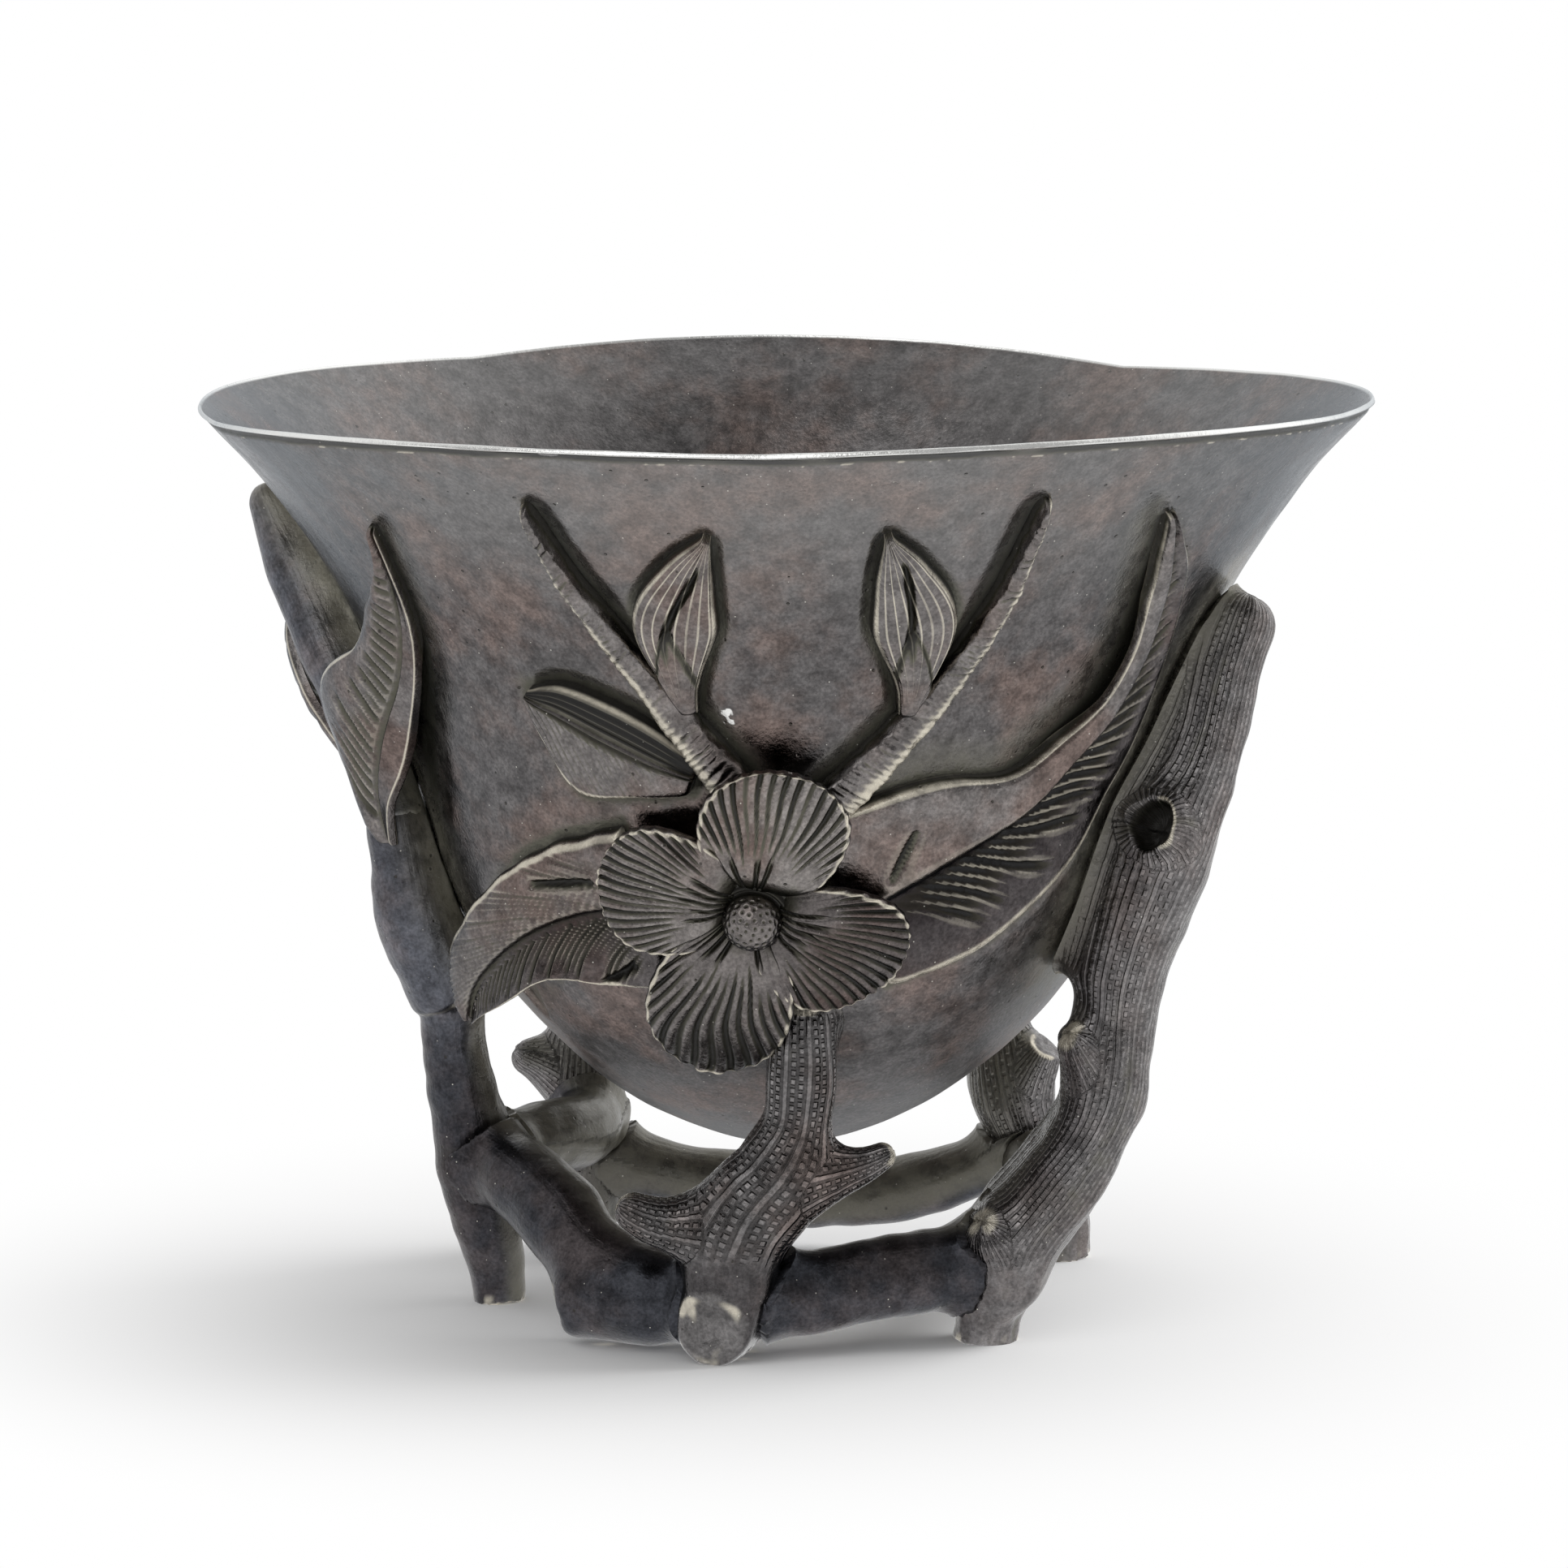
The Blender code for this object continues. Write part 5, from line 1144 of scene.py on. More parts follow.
def near_tube(points, tube):
    """Distance out from a tube with rounded ends, the direction away from it, and the place on the tube.

    The nearest station gives the place along the tube. The distance is that of a rounded cylinder: beyond
    the side and beyond the nearer end are measured from edges set in by the rounding, and joined.
    """
    near = nearest_station(points, tube.centre)
    gap = points - tube.centre[near]
    along = (gap * tube.heading[near]).sum(axis=1)
    spoke = gap - along[:, None] * tube.heading[near]
    reach = np.linalg.norm(spoke, axis=1)
    spoke = spoke / np.maximum(reach, 1e-6)[:, None]
    place = tube.place[near] + along
    to_end = place - tube.place[-1]
    at_start = -place > to_end
    beyond = np.where(at_start, -place, to_end)
    facing = np.where(at_start, -1.0, 1.0)[:, None] * tube.heading[near]
    bevel = np.where(at_start, *tube.bevels)
    radius = tube.radius[near] + tube.taper[near] * np.clip(along, -1.0, 1.0)
    outside = reach - radius + bevel
    endward = beyond + bevel
    past_side = np.maximum(outside, 0.0)
    past_end = np.maximum(endward, 0.0)
    distance = np.minimum(np.maximum(outside, endward), 0.0) + np.hypot(past_side, past_end) - bevel
    mixed = unit(spoke * past_side[:, None] + facing * past_end[:, None])
    inner = np.where((outside > endward)[:, None], spoke, facing)
    away = np.where(((past_side + past_end) > 1e-6)[:, None], mixed, inner)
    angle = np.arctan2((spoke * tube.side[near]).sum(axis=1), (spoke * tube.out[near]).sum(axis=1))
    cap = smooth_step(-0.35, 0.05, beyond + 0.3 * bevel) * fall(0.55, 0.8, bevel / radius)
    return distance, away, place, angle, cap, reach / radius


def tube_rings(tube, columns=28):
    """Rings of a tube, square to its heading."""
    turn = np.linspace(0.0, math.tau, columns, endpoint=False)[None, :, None]
    spoke = tube.out[:, None] * np.cos(turn) + tube.side[:, None] * np.sin(turn)
    return tube.centre[:, None] + spoke * tube.radius[:, None, None]


def fused_skin(tubes, cell):
    """Vertices and quads of one closed skin round several tubes, by a voxel remesh at millimetre scale."""
    points, quads, triangles, start = [], [], [], 0
    for tube in tubes:
        rings = tube_rings(tube)
        rows, columns, _ = rings.shape
        some_quads, some_triangles = grid_faces(rows, columns)
        points.append(np.vstack([rings.reshape(-1, 3), tube.centre[:1], tube.centre[-1:]]))
        quads.append(some_quads + start)
        triangles.append(some_triangles + start)
        start += len(points[-1])
    rough = write_mesh("rough_branch", np.vstack(points) / MM, np.vstack(quads), np.vstack(triangles))
    remesh = rough.modifiers.new("skin", "REMESH")
    remesh.mode = "VOXEL"
    remesh.voxel_size = cell
    evaluated = rough.evaluated_get(bpy.context.evaluated_depsgraph_get())
    mesh = evaluated.to_mesh()
    vertices = np.empty(len(mesh.vertices) * 3, np.float32)
    mesh.vertices.foreach_get("co", vertices)
    corners = np.empty(len(mesh.loops), np.int32)
    mesh.loops.foreach_get("vertex_index", corners)
    evaluated.to_mesh_clear()
    bpy.data.meshes.remove(rough.data)
    return vertices.reshape(-1, 3).astype(float), corners.reshape(-1, 4)


def soft_union(first, second, web):
    """Join two distance fields and their directions: within the web they meet in a hollow curve."""
    share = np.clip(0.5 + 0.5 * (second[0] - first[0]) / web, 0.0, 1.0)
    distance = second[0] + (first[0] - second[0]) * share - web * share * (1.0 - share)
    return distance, unit(first[1] * share[:, None] + second[1] * (1.0 - share)[:, None])


def blend_fields(points, own, others, web):
    """Smooth union of the distance fields round a branch, and its direction.

    The wall and the branches that a branch grows from count too, except where the point lies in them.
    """
    joined = near_tube(points, own[0])[:2]
    for tube in own[1:]:
        joined = soft_union(joined, near_tube(points, tube)[:2], web)
    for distance, away in [near_tube(points, tube)[:2] for tube in others] + [wall_distance(points)]:
        kept = np.where(distance < -SUNK, FAR_OFF, distance + FLUSH)
        joined = soft_union(joined, (kept, away), web)
    return joined


def bark_height(points, tubes, bark):
    """Height of the bark over a branch, its hollows, its worn crests, and its own rows and place along it.

    Seeded waves drawn out along the branch give long streaks. Sawn ends are dished, with a worn rim.
    """
    total = np.zeros(len(points))
    hollow = np.zeros(len(points))
    crest = np.zeros(len(points))
    weight_sum = np.zeros(len(points))
    rows = np.zeros((len(points), 3))
    nearest = np.full(len(points), np.inf)
    for tube in tubes:
        distance, _, place, angle, cap, reach = near_tube(points, tube)
        weight = np.exp(-np.maximum(distance, -1.5) / 0.35)
        drawn = np.stack([2.6 * np.cos(angle), 2.6 * np.sin(angle), 0.09 * place], axis=-1)
        streak = ripple(drawn, 2.0, 41)
        sawn = -0.14 * np.maximum(0.0, 1.0 - reach**2) + 0.03 * np.cos(reach * 13.0)
        sawn = sawn + 0.06 * ripple(points, 1.6, 44)
        rim = bell(reach, 0.14, 0.9) * np.clip(0.45 + 1.1 * ripple(points, 3.4, 43), 0.0, 1.0)
        total += weight * (bark.streak * streak * (1.0 - cap) + sawn * cap)
        hollow += weight * np.maximum(0.0, -2.2 * bark.streak * streak) * (1.0 - cap)
        crest += weight * (1.6 * bark.streak * streak * (1.0 - cap) + (0.25 + 0.9 * rim) * cap)
        weight_sum += weight
        closer = distance < nearest
        row = angle / math.tau * bark.rows + 0.35 * np.sin(place * 0.23)
        marked = (1.0 - cap) * smooth_step(5.0, 9.5, points[:, 2])
        rows[closer] = np.stack([row, place / bark.pitch, marked], axis=-1)[closer]
        nearest = np.minimum(nearest, distance)
    return total / weight_sum, hollow / weight_sum, crest / weight_sum, rows


def make_branch(name, branch, tubes, chasing):
    """Branch with its side branches: a fused skin pulled onto the smooth union, then carved with bark."""
    web = TIGHT_WEBS.get(name, chasing.web / MM)
    own = tubes[name]
    others = [tube for anchor in branch.anchors for tube in tubes[anchor]]
    cell = chasing.skin_cell / MM * (FINE_SHARE if name in FINE_SKINS else 1.0)
    points, quads = fused_skin(own, cell)
    for _ in range(5):
        distance, direction = blend_fields(points, own, others, web)
        points = points - direction * np.clip(distance, -1.2, 1.2)[:, None]
    gnarl = ripple(points, 7.0, 31) * branch.bark.lump + ripple(points, 2.6, 32) * 0.35 * branch.bark.lump
    height, hollow, crest, rows = bark_height(points, own, branch.bark)
    dent = np.zeros(len(points))
    ledge = np.zeros(len(points))
    points = points + direction * (gnarl + height * chasing.bark_scale)[:, None]
    if name in HOLLOW_SIDES:
        index, radius, depth = HOLLOW_SIDES[name]
        hollow_side = own[1 + index]
        gap = points - hollow_side.centre[-1]
        reach = np.linalg.norm(gap * np.array([1.1, 1.1, 0.85]), axis=1) / radius
        reach = reach * (1.0 + 0.16 * ripple(points, 3.2, 45))
        dent = np.exp(-(reach**6))
        # A pale, worn ledge on the right of the hollow, painted as its lit edge
        ledge = bell(reach, 0.2, 1.25) * smooth_step(0.3, 1.2, gap[:, 0])
        points = points - hollow_side.heading[-1] * (depth * dent)[:, None]
    from_wall, away = wall_distance(points)
    points = points + away * np.maximum(0.0, -0.7 - from_wall)[:, None]
    points[:, 2] = np.maximum(points[:, 2], 0.0)
    crease = 0.55 * np.exp(-np.maximum(from_wall, 0.0) / 0.7)
    for tube in others:
        crease = np.maximum(crease, 0.1 * np.exp(-np.maximum(near_tube(points, tube)[0], 0.0) / 0.4))
    joined = [tube for log, other in LOGS.items() if name in other.anchors for tube in tubes[log]]
    nearest = np.full(len(points), FAR_OFF)
    for tube in joined:
        nearest = np.minimum(nearest, near_tube(points, tube)[0])
    piece = write_mesh(name, points, quads, np.zeros((0, 3), int))
    shade = JOINT_SHADE * np.exp(-np.maximum(nearest, 0.0) / JOINT_REACH) * (name != "front_stem")
    shady = SHADY_SIDES.get(name, 0.0) * smooth_step(-0.15, 0.6, -direction[:, 0])
    if name == "front_stem":
        plain = fall(*STEM_PLAIN, points[:, 2])
        rows[:, 2] = rows[:, 2] * (1.0 - plain)
        cap, reach = near_tube(points, own[-1])[4:6]
        shady = STEM_SHADE * plain * (1.0 - cap * fall(0.95, 1.1, reach))
    paint(piece, "shade", np.maximum(shade, shady))
    inward = -unit(points * np.array([1.0, 1.0, 0.0]))
    sheltered = (direction * inward).sum(axis=1) + 0.5 * direction[:, 2]
    patches = 1.2 * ripple(points, 2.2, 46)
    feet = bell(points[:, 2], FOOT_WEAR) * np.clip(patches + 0.1, 0.0, 1.0)
    crest = np.maximum(crest, 0.8 * feet)
    for index, spread, closed in WORN_TIPS.get(name, ()):
        gap = np.linalg.norm(points - own[1 + index].centre[-1], axis=1)
        crest = np.maximum(crest, 0.9 * np.exp(-(gap / spread) ** 4) * np.clip(patches + closed, 0.0, 1.0))
    paint(piece, "wear_and_highlight", np.clip(crest + ledge, 0.0, 1.0))
    # The hollow end is painted black with the grime, as its shade
    paint(piece, "grime", np.clip(np.maximum(crease, hollow) + 1.3 * dent, 0.0, 1.0))
    rows[:, 2] = rows[:, 2] * smooth_step(0.6, 2.2, from_wall)
    lines = piece.data.attributes.new("bark", "FLOAT_VECTOR", "POINT")
    lines.data.foreach_set("vector", rows.astype(np.float32).ravel())
    film = smooth_step(0.0, 0.9, sheltered) * fall(20.0, 34.0, points[:, 2])
    beside_wall = bell(np.maximum(from_wall, 0.0), WALL_FILM) * (name in CLINGING)
    paint(piece, "film", np.maximum(film, beside_wall))
    return piece


# Noises of the patina: scale, detail and roughness
BLOTCHES = (95.0, 5.0, 0.62)
MOTTLE = (620.0, 6.0, 0.68)
GRAIN = (3600.0, 3.0, 0.6)
CRUMBS = (1500.0, 2.0, 0.5)
PIT_SCALE = 520.0
DUST_SCALE = 900.0
SCRATCH_TURN = (0.3, 0.5, 0.9)
SCRATCH_SCALE = (260.0, 2600.0, 420.0)
GRIT_DEPTH = 0.00012
DUST = (0.75, 0.73, 0.66, 1.0)
RESIDUE = (0.85, 0.85, 0.83, 1.0)
# Heights in metres between which the painted light on the belly ends and the paler upper part of a log begins
BELLY_PART = (0.022, 0.038)
UPPER_PART = (0.017, 0.028)
# Bark of each metal: depth of its lines in metres, how far they are painted darker between and paler on top
# as shade and highlight, and the share of beads
STEM_LINES = (0.00024, 0.5, 0.9)
TRUNK_LINES = (0.00012, 0.3, 0.7)
LOG_LINES = (0.00001, 0.03, 0.2)


class NodeBench:
    """Adds shader nodes to a tree. A feed is a socket to link or a value to set."""

    def __init__(self, tree):
        self.tree = tree

    def add(self, kind, feeds=None, **settings):
        """New node with its settings and feeds."""
        node = self.tree.nodes.new("ShaderNode" + kind)
        for setting, value in settings.items():
            setattr(node, setting, value)
        for key, feed in (feeds or {}).items():
            if isinstance(feed, bpy.types.NodeSocket):
                self.tree.links.new(feed, node.inputs[key])
            else:
                node.inputs[key].default_value = feed
        return node

    def math(self, operation, a, b=0.0, clamp=False):
        """Result of one sum."""
        return self.add("Math", {0: a, 1: b}, operation=operation, use_clamp=clamp).outputs[0]

    def times(self, a, b):
        """Product of two values."""
        return self.math("MULTIPLY", a, b)

    def attribute(self, name):
        """Number stored on the mesh under a name."""
        return self.add("Attribute", attribute_name=name).outputs["Fac"]

    def tint(self, factor, tone, colour):
        """Tone, multiplied by a colour in the share of the factor."""
        return self.mix(factor, tone, self.mix(1.0, tone, (*colour, 1.0), "MULTIPLY"))

    def mix(self, factor, a, b, blend="MIX"):
        """Colour between two colours."""
        node = self.add("Mix", {0: factor, 6: a, 7: b}, data_type="RGBA", blend_type=blend)
        return node.outputs[2]

    def noise(self, place, scale, detail=4.0, roughness=0.6):
        """Value of a fractal noise."""
        return self.add("TexNoise", {"Vector": place, "Scale": scale, "Detail": detail,
                                     "Roughness": roughness}).outputs[0]

    def ramp(self, value, low, high, start=0.0, end=1.0):
        """Value carried from one range to another, with soft ends."""
        return self.add("MapRange", {0: value, 1: low, 2: high, 3: start, 4: end},
                        interpolation_type="SMOOTHSTEP").outputs[0]


def bark_lines(bench, wander, beads):
    """Height of the bark lines, 0 to 1: raised rows along the branch, most of them broken into beads.

    The branch carries its own row number and place. Every third row stays whole, and a share of beads
    says how deep the gaps in the others are.
    """
    split = bench.add("SeparateXYZ", {0: bench.add("Attribute", attribute_name="bark").outputs["Vector"]})
    row, place, side = split.outputs
    row = bench.math("ADD", row, bench.times(wander, 0.9))
    number = bench.math("ROUND", row)
    line = bench.ramp(bench.math("COSINE", bench.times(row, math.tau)), -0.85, 0.35)
    tick = bench.math("ADD", place, bench.times(number, 0.5))
    bead = bench.ramp(bench.math("COSINE", bench.times(tick, math.tau)), -0.85, 0.2, 1.0 - beads, 1.0)
    whole = bench.math("LESS_THAN", bench.math("FLOORED_MODULO", number, 3.0), 0.5)
    bead = bench.math("MAXIMUM", bead, whole)
    flat = bench.math("SUBTRACT", 1.0, side)
    marks = bench.times(bench.times(line, bead), side)
    return bench.math("ADD", marks, bench.times(flat, 0.5))


def bronze(name, colour, patina, red_share, bark=None, bowl_wall=False, matt=0.0, upper=1.0):
    """Patinated bronze: mottled base, red-brown blotches, worn ridges and painted highlights, olive and black
    hollows, painted shade, specks.

    For a branch, bark gives the depth of its lines in metres, how far they are painted darker between and
    paler on top as shade and highlight, and the share of beads.
    Matt is added to the roughness. Upper lightens the metal above the logs. For the bowl's wall, the belly is
    painted paler as reflected light, the inside is painted in shade, the lip, rim and inside carry polish and
    painted sheen, and a white residue is laid on.
    """
    material = bpy.data.materials.new(name)
    material.use_nodes = True
    bench = NodeBench(material.node_tree)
    shader = material.node_tree.nodes["Principled BSDF"]
    place = bench.add("TexCoord").outputs["Object"]
    height = bench.add("SeparateXYZ", {0: place}).outputs[2]
    wear_and_highlight = bench.attribute("wear_and_highlight")
    grime = bench.attribute("grime")
    blotch = bench.noise(place, *BLOTCHES)
    mottle = bench.noise(place, *MOTTLE)
    grain = bench.noise(place, *GRAIN)
    tone = bench.mix(bench.times(bench.ramp(blotch, 0.44, 0.66), red_share),
                     (*colour, 1.0), (*patina.red, 1.0))
    # Tone that varies at random with the mottle and the grain
    shade = bench.times(bench.ramp(mottle, 0.28, 0.74, 0.6, 1.42),
                       bench.ramp(grain, 0.25, 0.75, 0.72, 1.28))
    tone = bench.mix(1.0, tone, shade, "MULTIPLY")
    sheltered = bench.attribute("film")
    cover = bench.times(sheltered, bench.ramp(mottle, 0.35, 0.6, 0.6, 1.0))
    tone = bench.mix(cover, tone, (*patina.khaki, 1.0))
    if bark:
        depth, dark, beads = bark
        rise = bench.ramp(height, *UPPER_PART)
        tone = bench.tint(rise, tone, (upper,) * 3)
        lines = bark_lines(bench, blotch, beads)
        # Painted shade between the bark lines and painted highlight on them
        tone = bench.mix(1.0, tone, bench.ramp(lines, 0.0, 1.0, 1.0 - dark, 1.0 + 0.3 * dark), "MULTIPLY")
    dirt = bench.math("ADD", grime, bench.ramp(mottle, 0.3, 0.7, -0.12, 0.12), clamp=True)
    tone = bench.mix(bench.ramp(dirt, 0.12, 0.5), tone, (*patina.olive, 1.0))
    tone = bench.mix(bench.ramp(dirt, 0.45, 0.95), tone, (*patina.grime, 1.0))
    dim = bench.attribute("shade")
    tone = bench.tint(dim, tone, patina.shadow)
    # Worn colour, for wear and for painted highlights
    worn = bench.times(bench.ramp(wear_and_highlight, 0.3, 0.9), bench.ramp(mottle, 0.33, 0.62, 0.6, 1.0))
    coat = bench.math("MAXIMUM", cover, bench.ramp(dirt, 0.6, 1.0))
    coat = bench.add("MapRange", {0: worn, 1: 0.0, 2: 1.0, 3: coat, 4: patina.matt_wear}).outputs[0]
    tone = bench.mix(bench.times(worn, 0.9), tone, (*patina.worn, 1.0))
    pits = bench.add("TexVoronoi", {"Vector": place, "Scale": PIT_SCALE}).outputs["Distance"]
    pit = bench.ramp(pits, 0.04, 0.09, 1.0, 0.0)
    tone = bench.mix(bench.times(pit, 0.8), tone, (*patina.grime, 1.0))
    dust = bench.add("TexVoronoi", {"Vector": place, "Scale": DUST_SCALE}).outputs["Distance"]
    speck = bench.ramp(dust, 0.03, 0.065, 1.0, 0.0)
    tone = bench.mix(bench.times(speck, 0.7), tone, DUST)
    if bowl_wall:
        # Painted light on the belly, standing in for what it reflects from the floor; the belly is also
        # duller there
        belly_light = bench.ramp(height, *BELLY_PART, 1.0, 0.0)
        tone = bench.tint(belly_light, tone, (patina.belly,) * 3)
        coat = bench.math("MAXIMUM", coat, bench.times(belly_light, 0.6))
        # Painted shade inside the bowl
        inner_shade = bench.attribute("inner_shade")
        tone = bench.tint(inner_shade, tone, patina.inner_shade)
        # Polish of the rubbed lip, and painted sheen near the rim and inside the bowl
        rubbed = bench.attribute("polish_and_sheen")
        tone = bench.mix(rubbed, tone, (*patina.silver, 1.0))
        spot = bench.attribute("residue")
        crumbs = bench.noise(place, *CRUMBS)
        white = bench.ramp(bench.times(spot, crumbs), 0.34, 0.42)
        tone = bench.mix(white, tone, RESIDUE)
    smooth = patina.roughness + matt
    gloss = bench.math("ADD", bench.ramp(mottle, 0.25, 0.75, smooth - 0.06, smooth + 0.12),
                       bench.times(grime, 0.3))
    if bowl_wall:
        gloss = bench.math("ADD", gloss, bench.times(belly_light, 0.22))
    scratch_place = bench.add("Mapping", {"Vector": place, "Rotation": SCRATCH_TURN,
                                          "Scale": SCRATCH_SCALE}).outputs[0]
    scratches = bench.noise(scratch_place, 1.0, 2.0, 0.5)
    grit = bench.math("ADD", bench.times(grain, 0.5), bench.times(mottle, 0.9))
    grit = bench.math("ADD", grit, bench.times(scratches, 0.25))
    grit = bench.math("SUBTRACT", grit, bench.times(pit, 0.8))
    bump = bench.add("Bump", {"Strength": 0.55, "Distance": GRIT_DEPTH, "Height": grit})
    if bark:
        bump = bench.add("Bump", {"Strength": 1.0, "Distance": depth, "Height": lines,
                                  "Normal": bump.outputs[0]})
    links = material.node_tree.links
    links.new(tone, shader.inputs["Base Color"])
    links.new(gloss, shader.inputs["Roughness"])
    links.new(bump.outputs[0], shader.inputs["Normal"])
    metal = bench.math("SUBTRACT", 1.0, bench.times(coat, patina.film))
    links.new(metal, shader.inputs["Metallic"])
    if not bark:
        shader.inputs["Specular Tint"].default_value = (*patina.edge, 1.0)
    return material


def looks(context):
    """The three groups of settings."""
    scene = context.scene
    return scene.cup_chasing, scene.cup_patina, scene.cup_stage


class CUP_OT_bowl(Operator):
    """Make the lobed bowl, cut back beside the sprays"""

    bl_idname = "cup.bowl"
    bl_label = "Bowl"

    def execute(self, context):
        chasing, patina, _ = looks(context)
        wall = bronze("wall_bronze", patina.wall, patina, 0.75, bowl_wall=True)
        install("bowl", make_bowl(chasing), wall)
        return {"FINISHED"}


class CUP_OT_sprays(Operator):
    """Make the twigs, leaves and buds that lie on the wall"""

    bl_idname = "cup.sprays"
    bl_label = "Twigs, leaves and buds"

    def execute(self, context):
        chasing, patina, _ = looks(context)
        leaf = bronze("leaf_bronze", patina.leaf, patina, 0.8)
        twig = bronze("twig_bronze", patina.leaf, patina, 0.5)
        for name, rows in TWIGS.items():
            install(name, make_twig(name, rows, chasing), twig)
        for name, rows in LEAVES.items():
            install(name, make_leaf(name, rows, chasing), leaf)
        for name, rows in BUDS.items():
            install(name, make_bud(name, rows), leaf)
        return {"FINISHED"}


class CUP_OT_blossom(Operator):
    """Make the petals, the stamen dome and the boss beneath them"""

    bl_idname = "cup.blossom"
    bl_label = "Blossom"

    def execute(self, context):
        chasing, patina, _ = looks(context)
        petal = bronze("blossom_bronze", patina.blossom, patina, 0.9)
        for name, sizes in PETALS.items():
            install(name, make_petal(name, *sizes, chasing), petal)
        install("stamen_dome", make_stamens(), petal)
        install("blossom_boss", make_boss(), petal)
        return {"FINISHED"}


def branch_tubes():
    """Tubes of every branch, its main line first, then its side branches."""
    tubes = {}
    for name, branch in {**TRUNKS, **LOGS}.items():
        horns = ROUND_SIDES.get(name, ())
        tubes[name] = [make_tube(branch.line, ENDS.get(name, (SAWN_END, SAWN_END)))]
        tubes[name] += [make_tube(side, (SAWN_END, (HORN_END if index in horns else STUB_END) * side[-1][3]))
                        for index, side in enumerate(branch.sides)]
    return tubes


class CUP_OT_branches(Operator):
    """Make the trunks, the bough and the ring of logs of the stand"""

    bl_idname = "cup.branches"
    bl_label = "Branches"

    def execute(self, context):
        chasing, patina, _ = looks(context)
        stem = bronze("stem_bronze", patina.stem, patina, 0.6, bark=STEM_LINES)
        trunk = bronze("trunk_bronze", patina.trunk, patina, 0.4, bark=TRUNK_LINES)
        log = bronze("log_bronze", patina.log, patina, 0.25, bark=LOG_LINES, matt=0.12,
                     upper=patina.upper)
        metals = {STEM_BARK: stem, TRUNK_BARK: trunk, SMOOTH_BARK: log}
        tubes = branch_tubes()
        for name, branch in {**TRUNKS, **LOGS}.items():
            install(name, make_branch(name, branch, tubes, chasing), metals[branch.bark])
        return {"FINISHED"}


CAMERA_PLACE = (0.0, -0.598, 0.132)
CAMERA_TILT = 8.6278
CAMERA_FOCUS = 9475.62
PHOTO_WIDTH = 1932.0
PHOTO_SHIFT = -2.0
SENSOR = 36.0
FLOOR_SIZE = 6.0
CLIP_START = 0.01
# Direction of the middle of the bright panel in front of the cup, at the upper left
PANEL_HEADING = (-0.33, -0.68, 0.655)
# Parts of a heading between which the light changes: left to right, front to back, upwards, to the panel
SIDE_TURN = (-0.9, 0.9)
FRONT_TURN = (-0.55, 0.2)
OVERHEAD_TURN = (0.45, 0.95)
PANEL_TURN = (0.84, 0.97)
# Distances from the cup, in metres, between which the floor turns white to the eye and in the metal
SEEN_FLOOR = (0.012, 0.08)
MIRRORED_FLOOR = (-0.12, 0.02)
SOFTBOX_PLACE = (0.52, 0.12, 0.36)
SOFTBOX_AIM = (0.0, 0.0, 0.03)
SOFTBOX_SIZE = 0.4


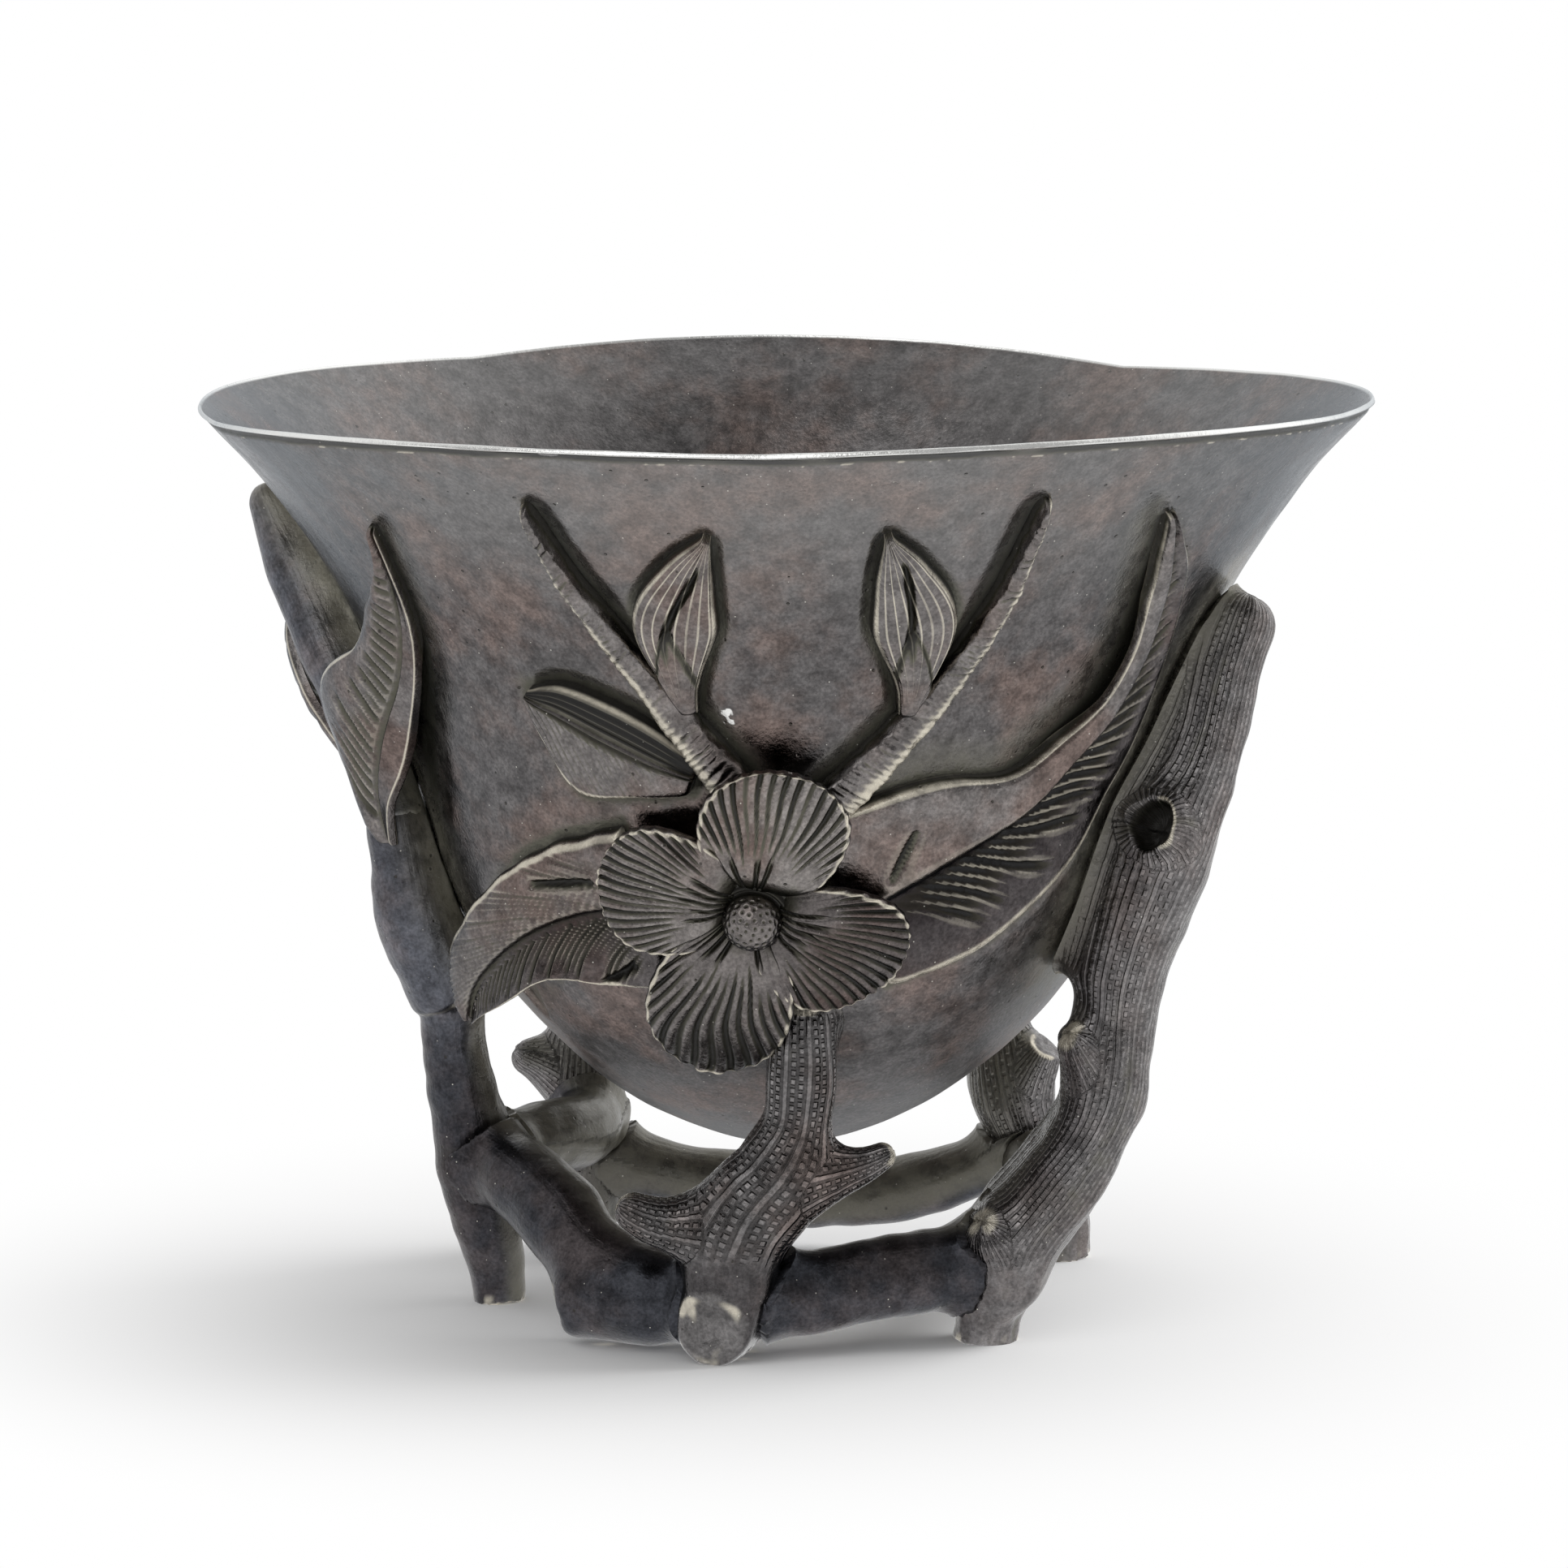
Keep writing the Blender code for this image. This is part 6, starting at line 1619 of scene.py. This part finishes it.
class CUP_OT_stage(Operator):
    """Make the floor, the white surroundings, the softbox and the camera"""

    bl_idname = "cup.stage"
    bl_label = "Stage"

    def execute(self, context):
        stage = context.scene.cup_stage
        self.floor(stage)
        self.surroundings(context.scene, stage)
        self.softbox(stage)
        self.camera(context.scene)
        context.scene.view_settings.view_transform = "Standard"
        return {"FINISHED"}

    def floor(self, stage):
        """Plain floor: matt under the cup, for its shadow, and white further off."""
        half = FLOOR_SIZE / 2.0
        mesh = bpy.data.meshes.new("floor")
        mesh.from_pydata([(-half, -half, 0.0), (half, -half, 0.0), (half, half, 0.0), (-half, half, 0.0)],
                         [], [(0, 1, 2, 3)])
        floor = bpy.data.objects.new("floor", mesh)
        bpy.context.scene.collection.objects.link(floor)
        material = bpy.data.materials.new("floor_white")
        material.use_nodes = True
        bench = NodeBench(material.node_tree)
        material.node_tree.nodes.remove(material.node_tree.nodes["Principled BSDF"])
        place = bench.add("TexCoord").outputs["Object"]
        away = bench.add("VectorMath", {0: place}, operation="LENGTH").outputs["Value"]
        matt = bench.add("BsdfDiffuse", {"Color": (*stage.floor, 1.0)}).outputs[0]
        white = bench.add("Emission", {"Color": (1.0, 1.0, 1.0, 1.0), "Strength": 1.0}).outputs[0]
        path = bench.add("LightPath")
        seen = bench.times(bench.ramp(away, *SEEN_FLOOR), path.outputs["Is Camera Ray"])
        mirrored = bench.times(bench.ramp(away, *MIRRORED_FLOOR), path.outputs["Is Glossy Ray"])
        share = bench.math("MAXIMUM", seen, mirrored)
        mixed = bench.add("MixShader", {0: share, 1: matt, 2: white}).outputs[0]
        output = material.node_tree.nodes["Material Output"]
        material.node_tree.links.new(mixed, output.inputs["Surface"])
        mesh.materials.append(material)

    def surroundings(self, scene, stage):
        """White room: bright at the sides and behind, dim in front, with a soft panel at the upper left."""
        world = bpy.data.worlds.new("white_room")
        scene.world = world
        world.use_nodes = True
        bench = NodeBench(world.node_tree)
        seen = bench.add("LightPath").outputs["Is Camera Ray"]
        heading = bench.add("TexCoord").outputs["Generated"]
        x, y, z = bench.add("SeparateXYZ", {0: heading}).outputs
        across = bench.ramp(x, *SIDE_TURN, stage.left, stage.right)
        along = bench.ramp(y, *FRONT_TURN, stage.front, 1.0)
        overhead = bench.ramp(z, *OVERHEAD_TURN, 1.0, stage.overhead)
        round_about = bench.times(bench.times(across, along), overhead)
        toward = bench.add("VectorMath", {0: heading, 1: PANEL_HEADING}, operation="DOT_PRODUCT")
        panel = bench.ramp(toward.outputs["Value"], *PANEL_TURN, 0.0, stage.panel)
        round_about = bench.math("ADD", round_about, panel)
        matt = bench.add("LightPath").outputs["Is Diffuse Ray"]
        round_about = bench.times(round_about, bench.ramp(matt, 0.0, 1.0, 1.0, stage.shade))
        strength = bench.add("MapRange", {0: seen, 1: 0.0, 2: 1.0, 3: round_about, 4: 1.0}).outputs[0]
        background = world.node_tree.nodes["Background"]
        background.inputs["Color"].default_value = (1.0, 1.0, 1.0, 1.0)
        world.node_tree.links.new(strength, background.inputs["Strength"])

    def softbox(self, stage):
        """Lamp that casts the shadow on the floor, unseen in the metal."""
        lamp = bpy.data.lights.new("softbox", "AREA")
        lamp.energy = stage.lamp
        lamp.shape = "DISK"
        lamp.size = SOFTBOX_SIZE
        box = bpy.data.objects.new("softbox", lamp)
        bpy.context.scene.collection.objects.link(box)
        box.location = SOFTBOX_PLACE
        box.visible_glossy = False
        aim = np.array(SOFTBOX_AIM) - np.array(SOFTBOX_PLACE)
        box.rotation_euler = (math.acos(-aim[2] / np.linalg.norm(aim)), 0.0,
                              math.atan2(aim[1], aim[0]) - math.pi / 2.0)

    def camera(self, scene):
        """Camera at the place and focal length fitted to the view."""
        camera = bpy.data.cameras.new("camera")
        camera.sensor_width = SENSOR
        camera.lens = CAMERA_FOCUS / PHOTO_WIDTH * SENSOR
        camera.shift_x = PHOTO_SHIFT / PHOTO_WIDTH
        camera.clip_start = CLIP_START
        eye = bpy.data.objects.new("camera", camera)
        scene.collection.objects.link(eye)
        eye.location = CAMERA_PLACE
        eye.rotation_euler = (math.radians(90.0 - CAMERA_TILT), 0.0, 0.0)
        scene.camera = eye


class CUP_PT_looks(Panel):
    """Buttons for the pieces, and their settings"""

    bl_idname = "CUP_PT_looks"
    bl_label = "Bronze cup"
    bl_space_type = "VIEW_3D"
    bl_region_type = "UI"
    bl_category = "Cup"

    def draw(self, context):
        for step in STEPS:
            self.layout.operator(step.bl_idname)
        for group in looks(context):
            box = self.layout.box()
            for name in group.__annotations__:
                box.prop(group, name)


STEPS = (CUP_OT_bowl, CUP_OT_sprays, CUP_OT_blossom, CUP_OT_branches, CUP_OT_stage)
GROUPS = {"cup_chasing": CupChasing, "cup_patina": CupPatina, "cup_stage": CupStage}


def register():
    """Register the classes and hang the settings on the scene."""
    for kind in (*GROUPS.values(), *STEPS, CUP_PT_looks):
        bpy.utils.register_class(kind)
    for name, group in GROUPS.items():
        setattr(bpy.types.Scene, name, PointerProperty(type=group))


def unregister():
    """Take the settings and the classes away again."""
    for name in GROUPS:
        delattr(bpy.types.Scene, name)
    for kind in (CUP_PT_looks, *reversed(STEPS), *reversed(tuple(GROUPS.values()))):
        bpy.utils.unregister_class(kind)


def main():
    register()
    bpy.ops.cup.bowl()
    bpy.ops.cup.sprays()
    bpy.ops.cup.blossom()
    bpy.ops.cup.branches()
    bpy.ops.cup.stage()


if __name__ == "__main__":
    main()
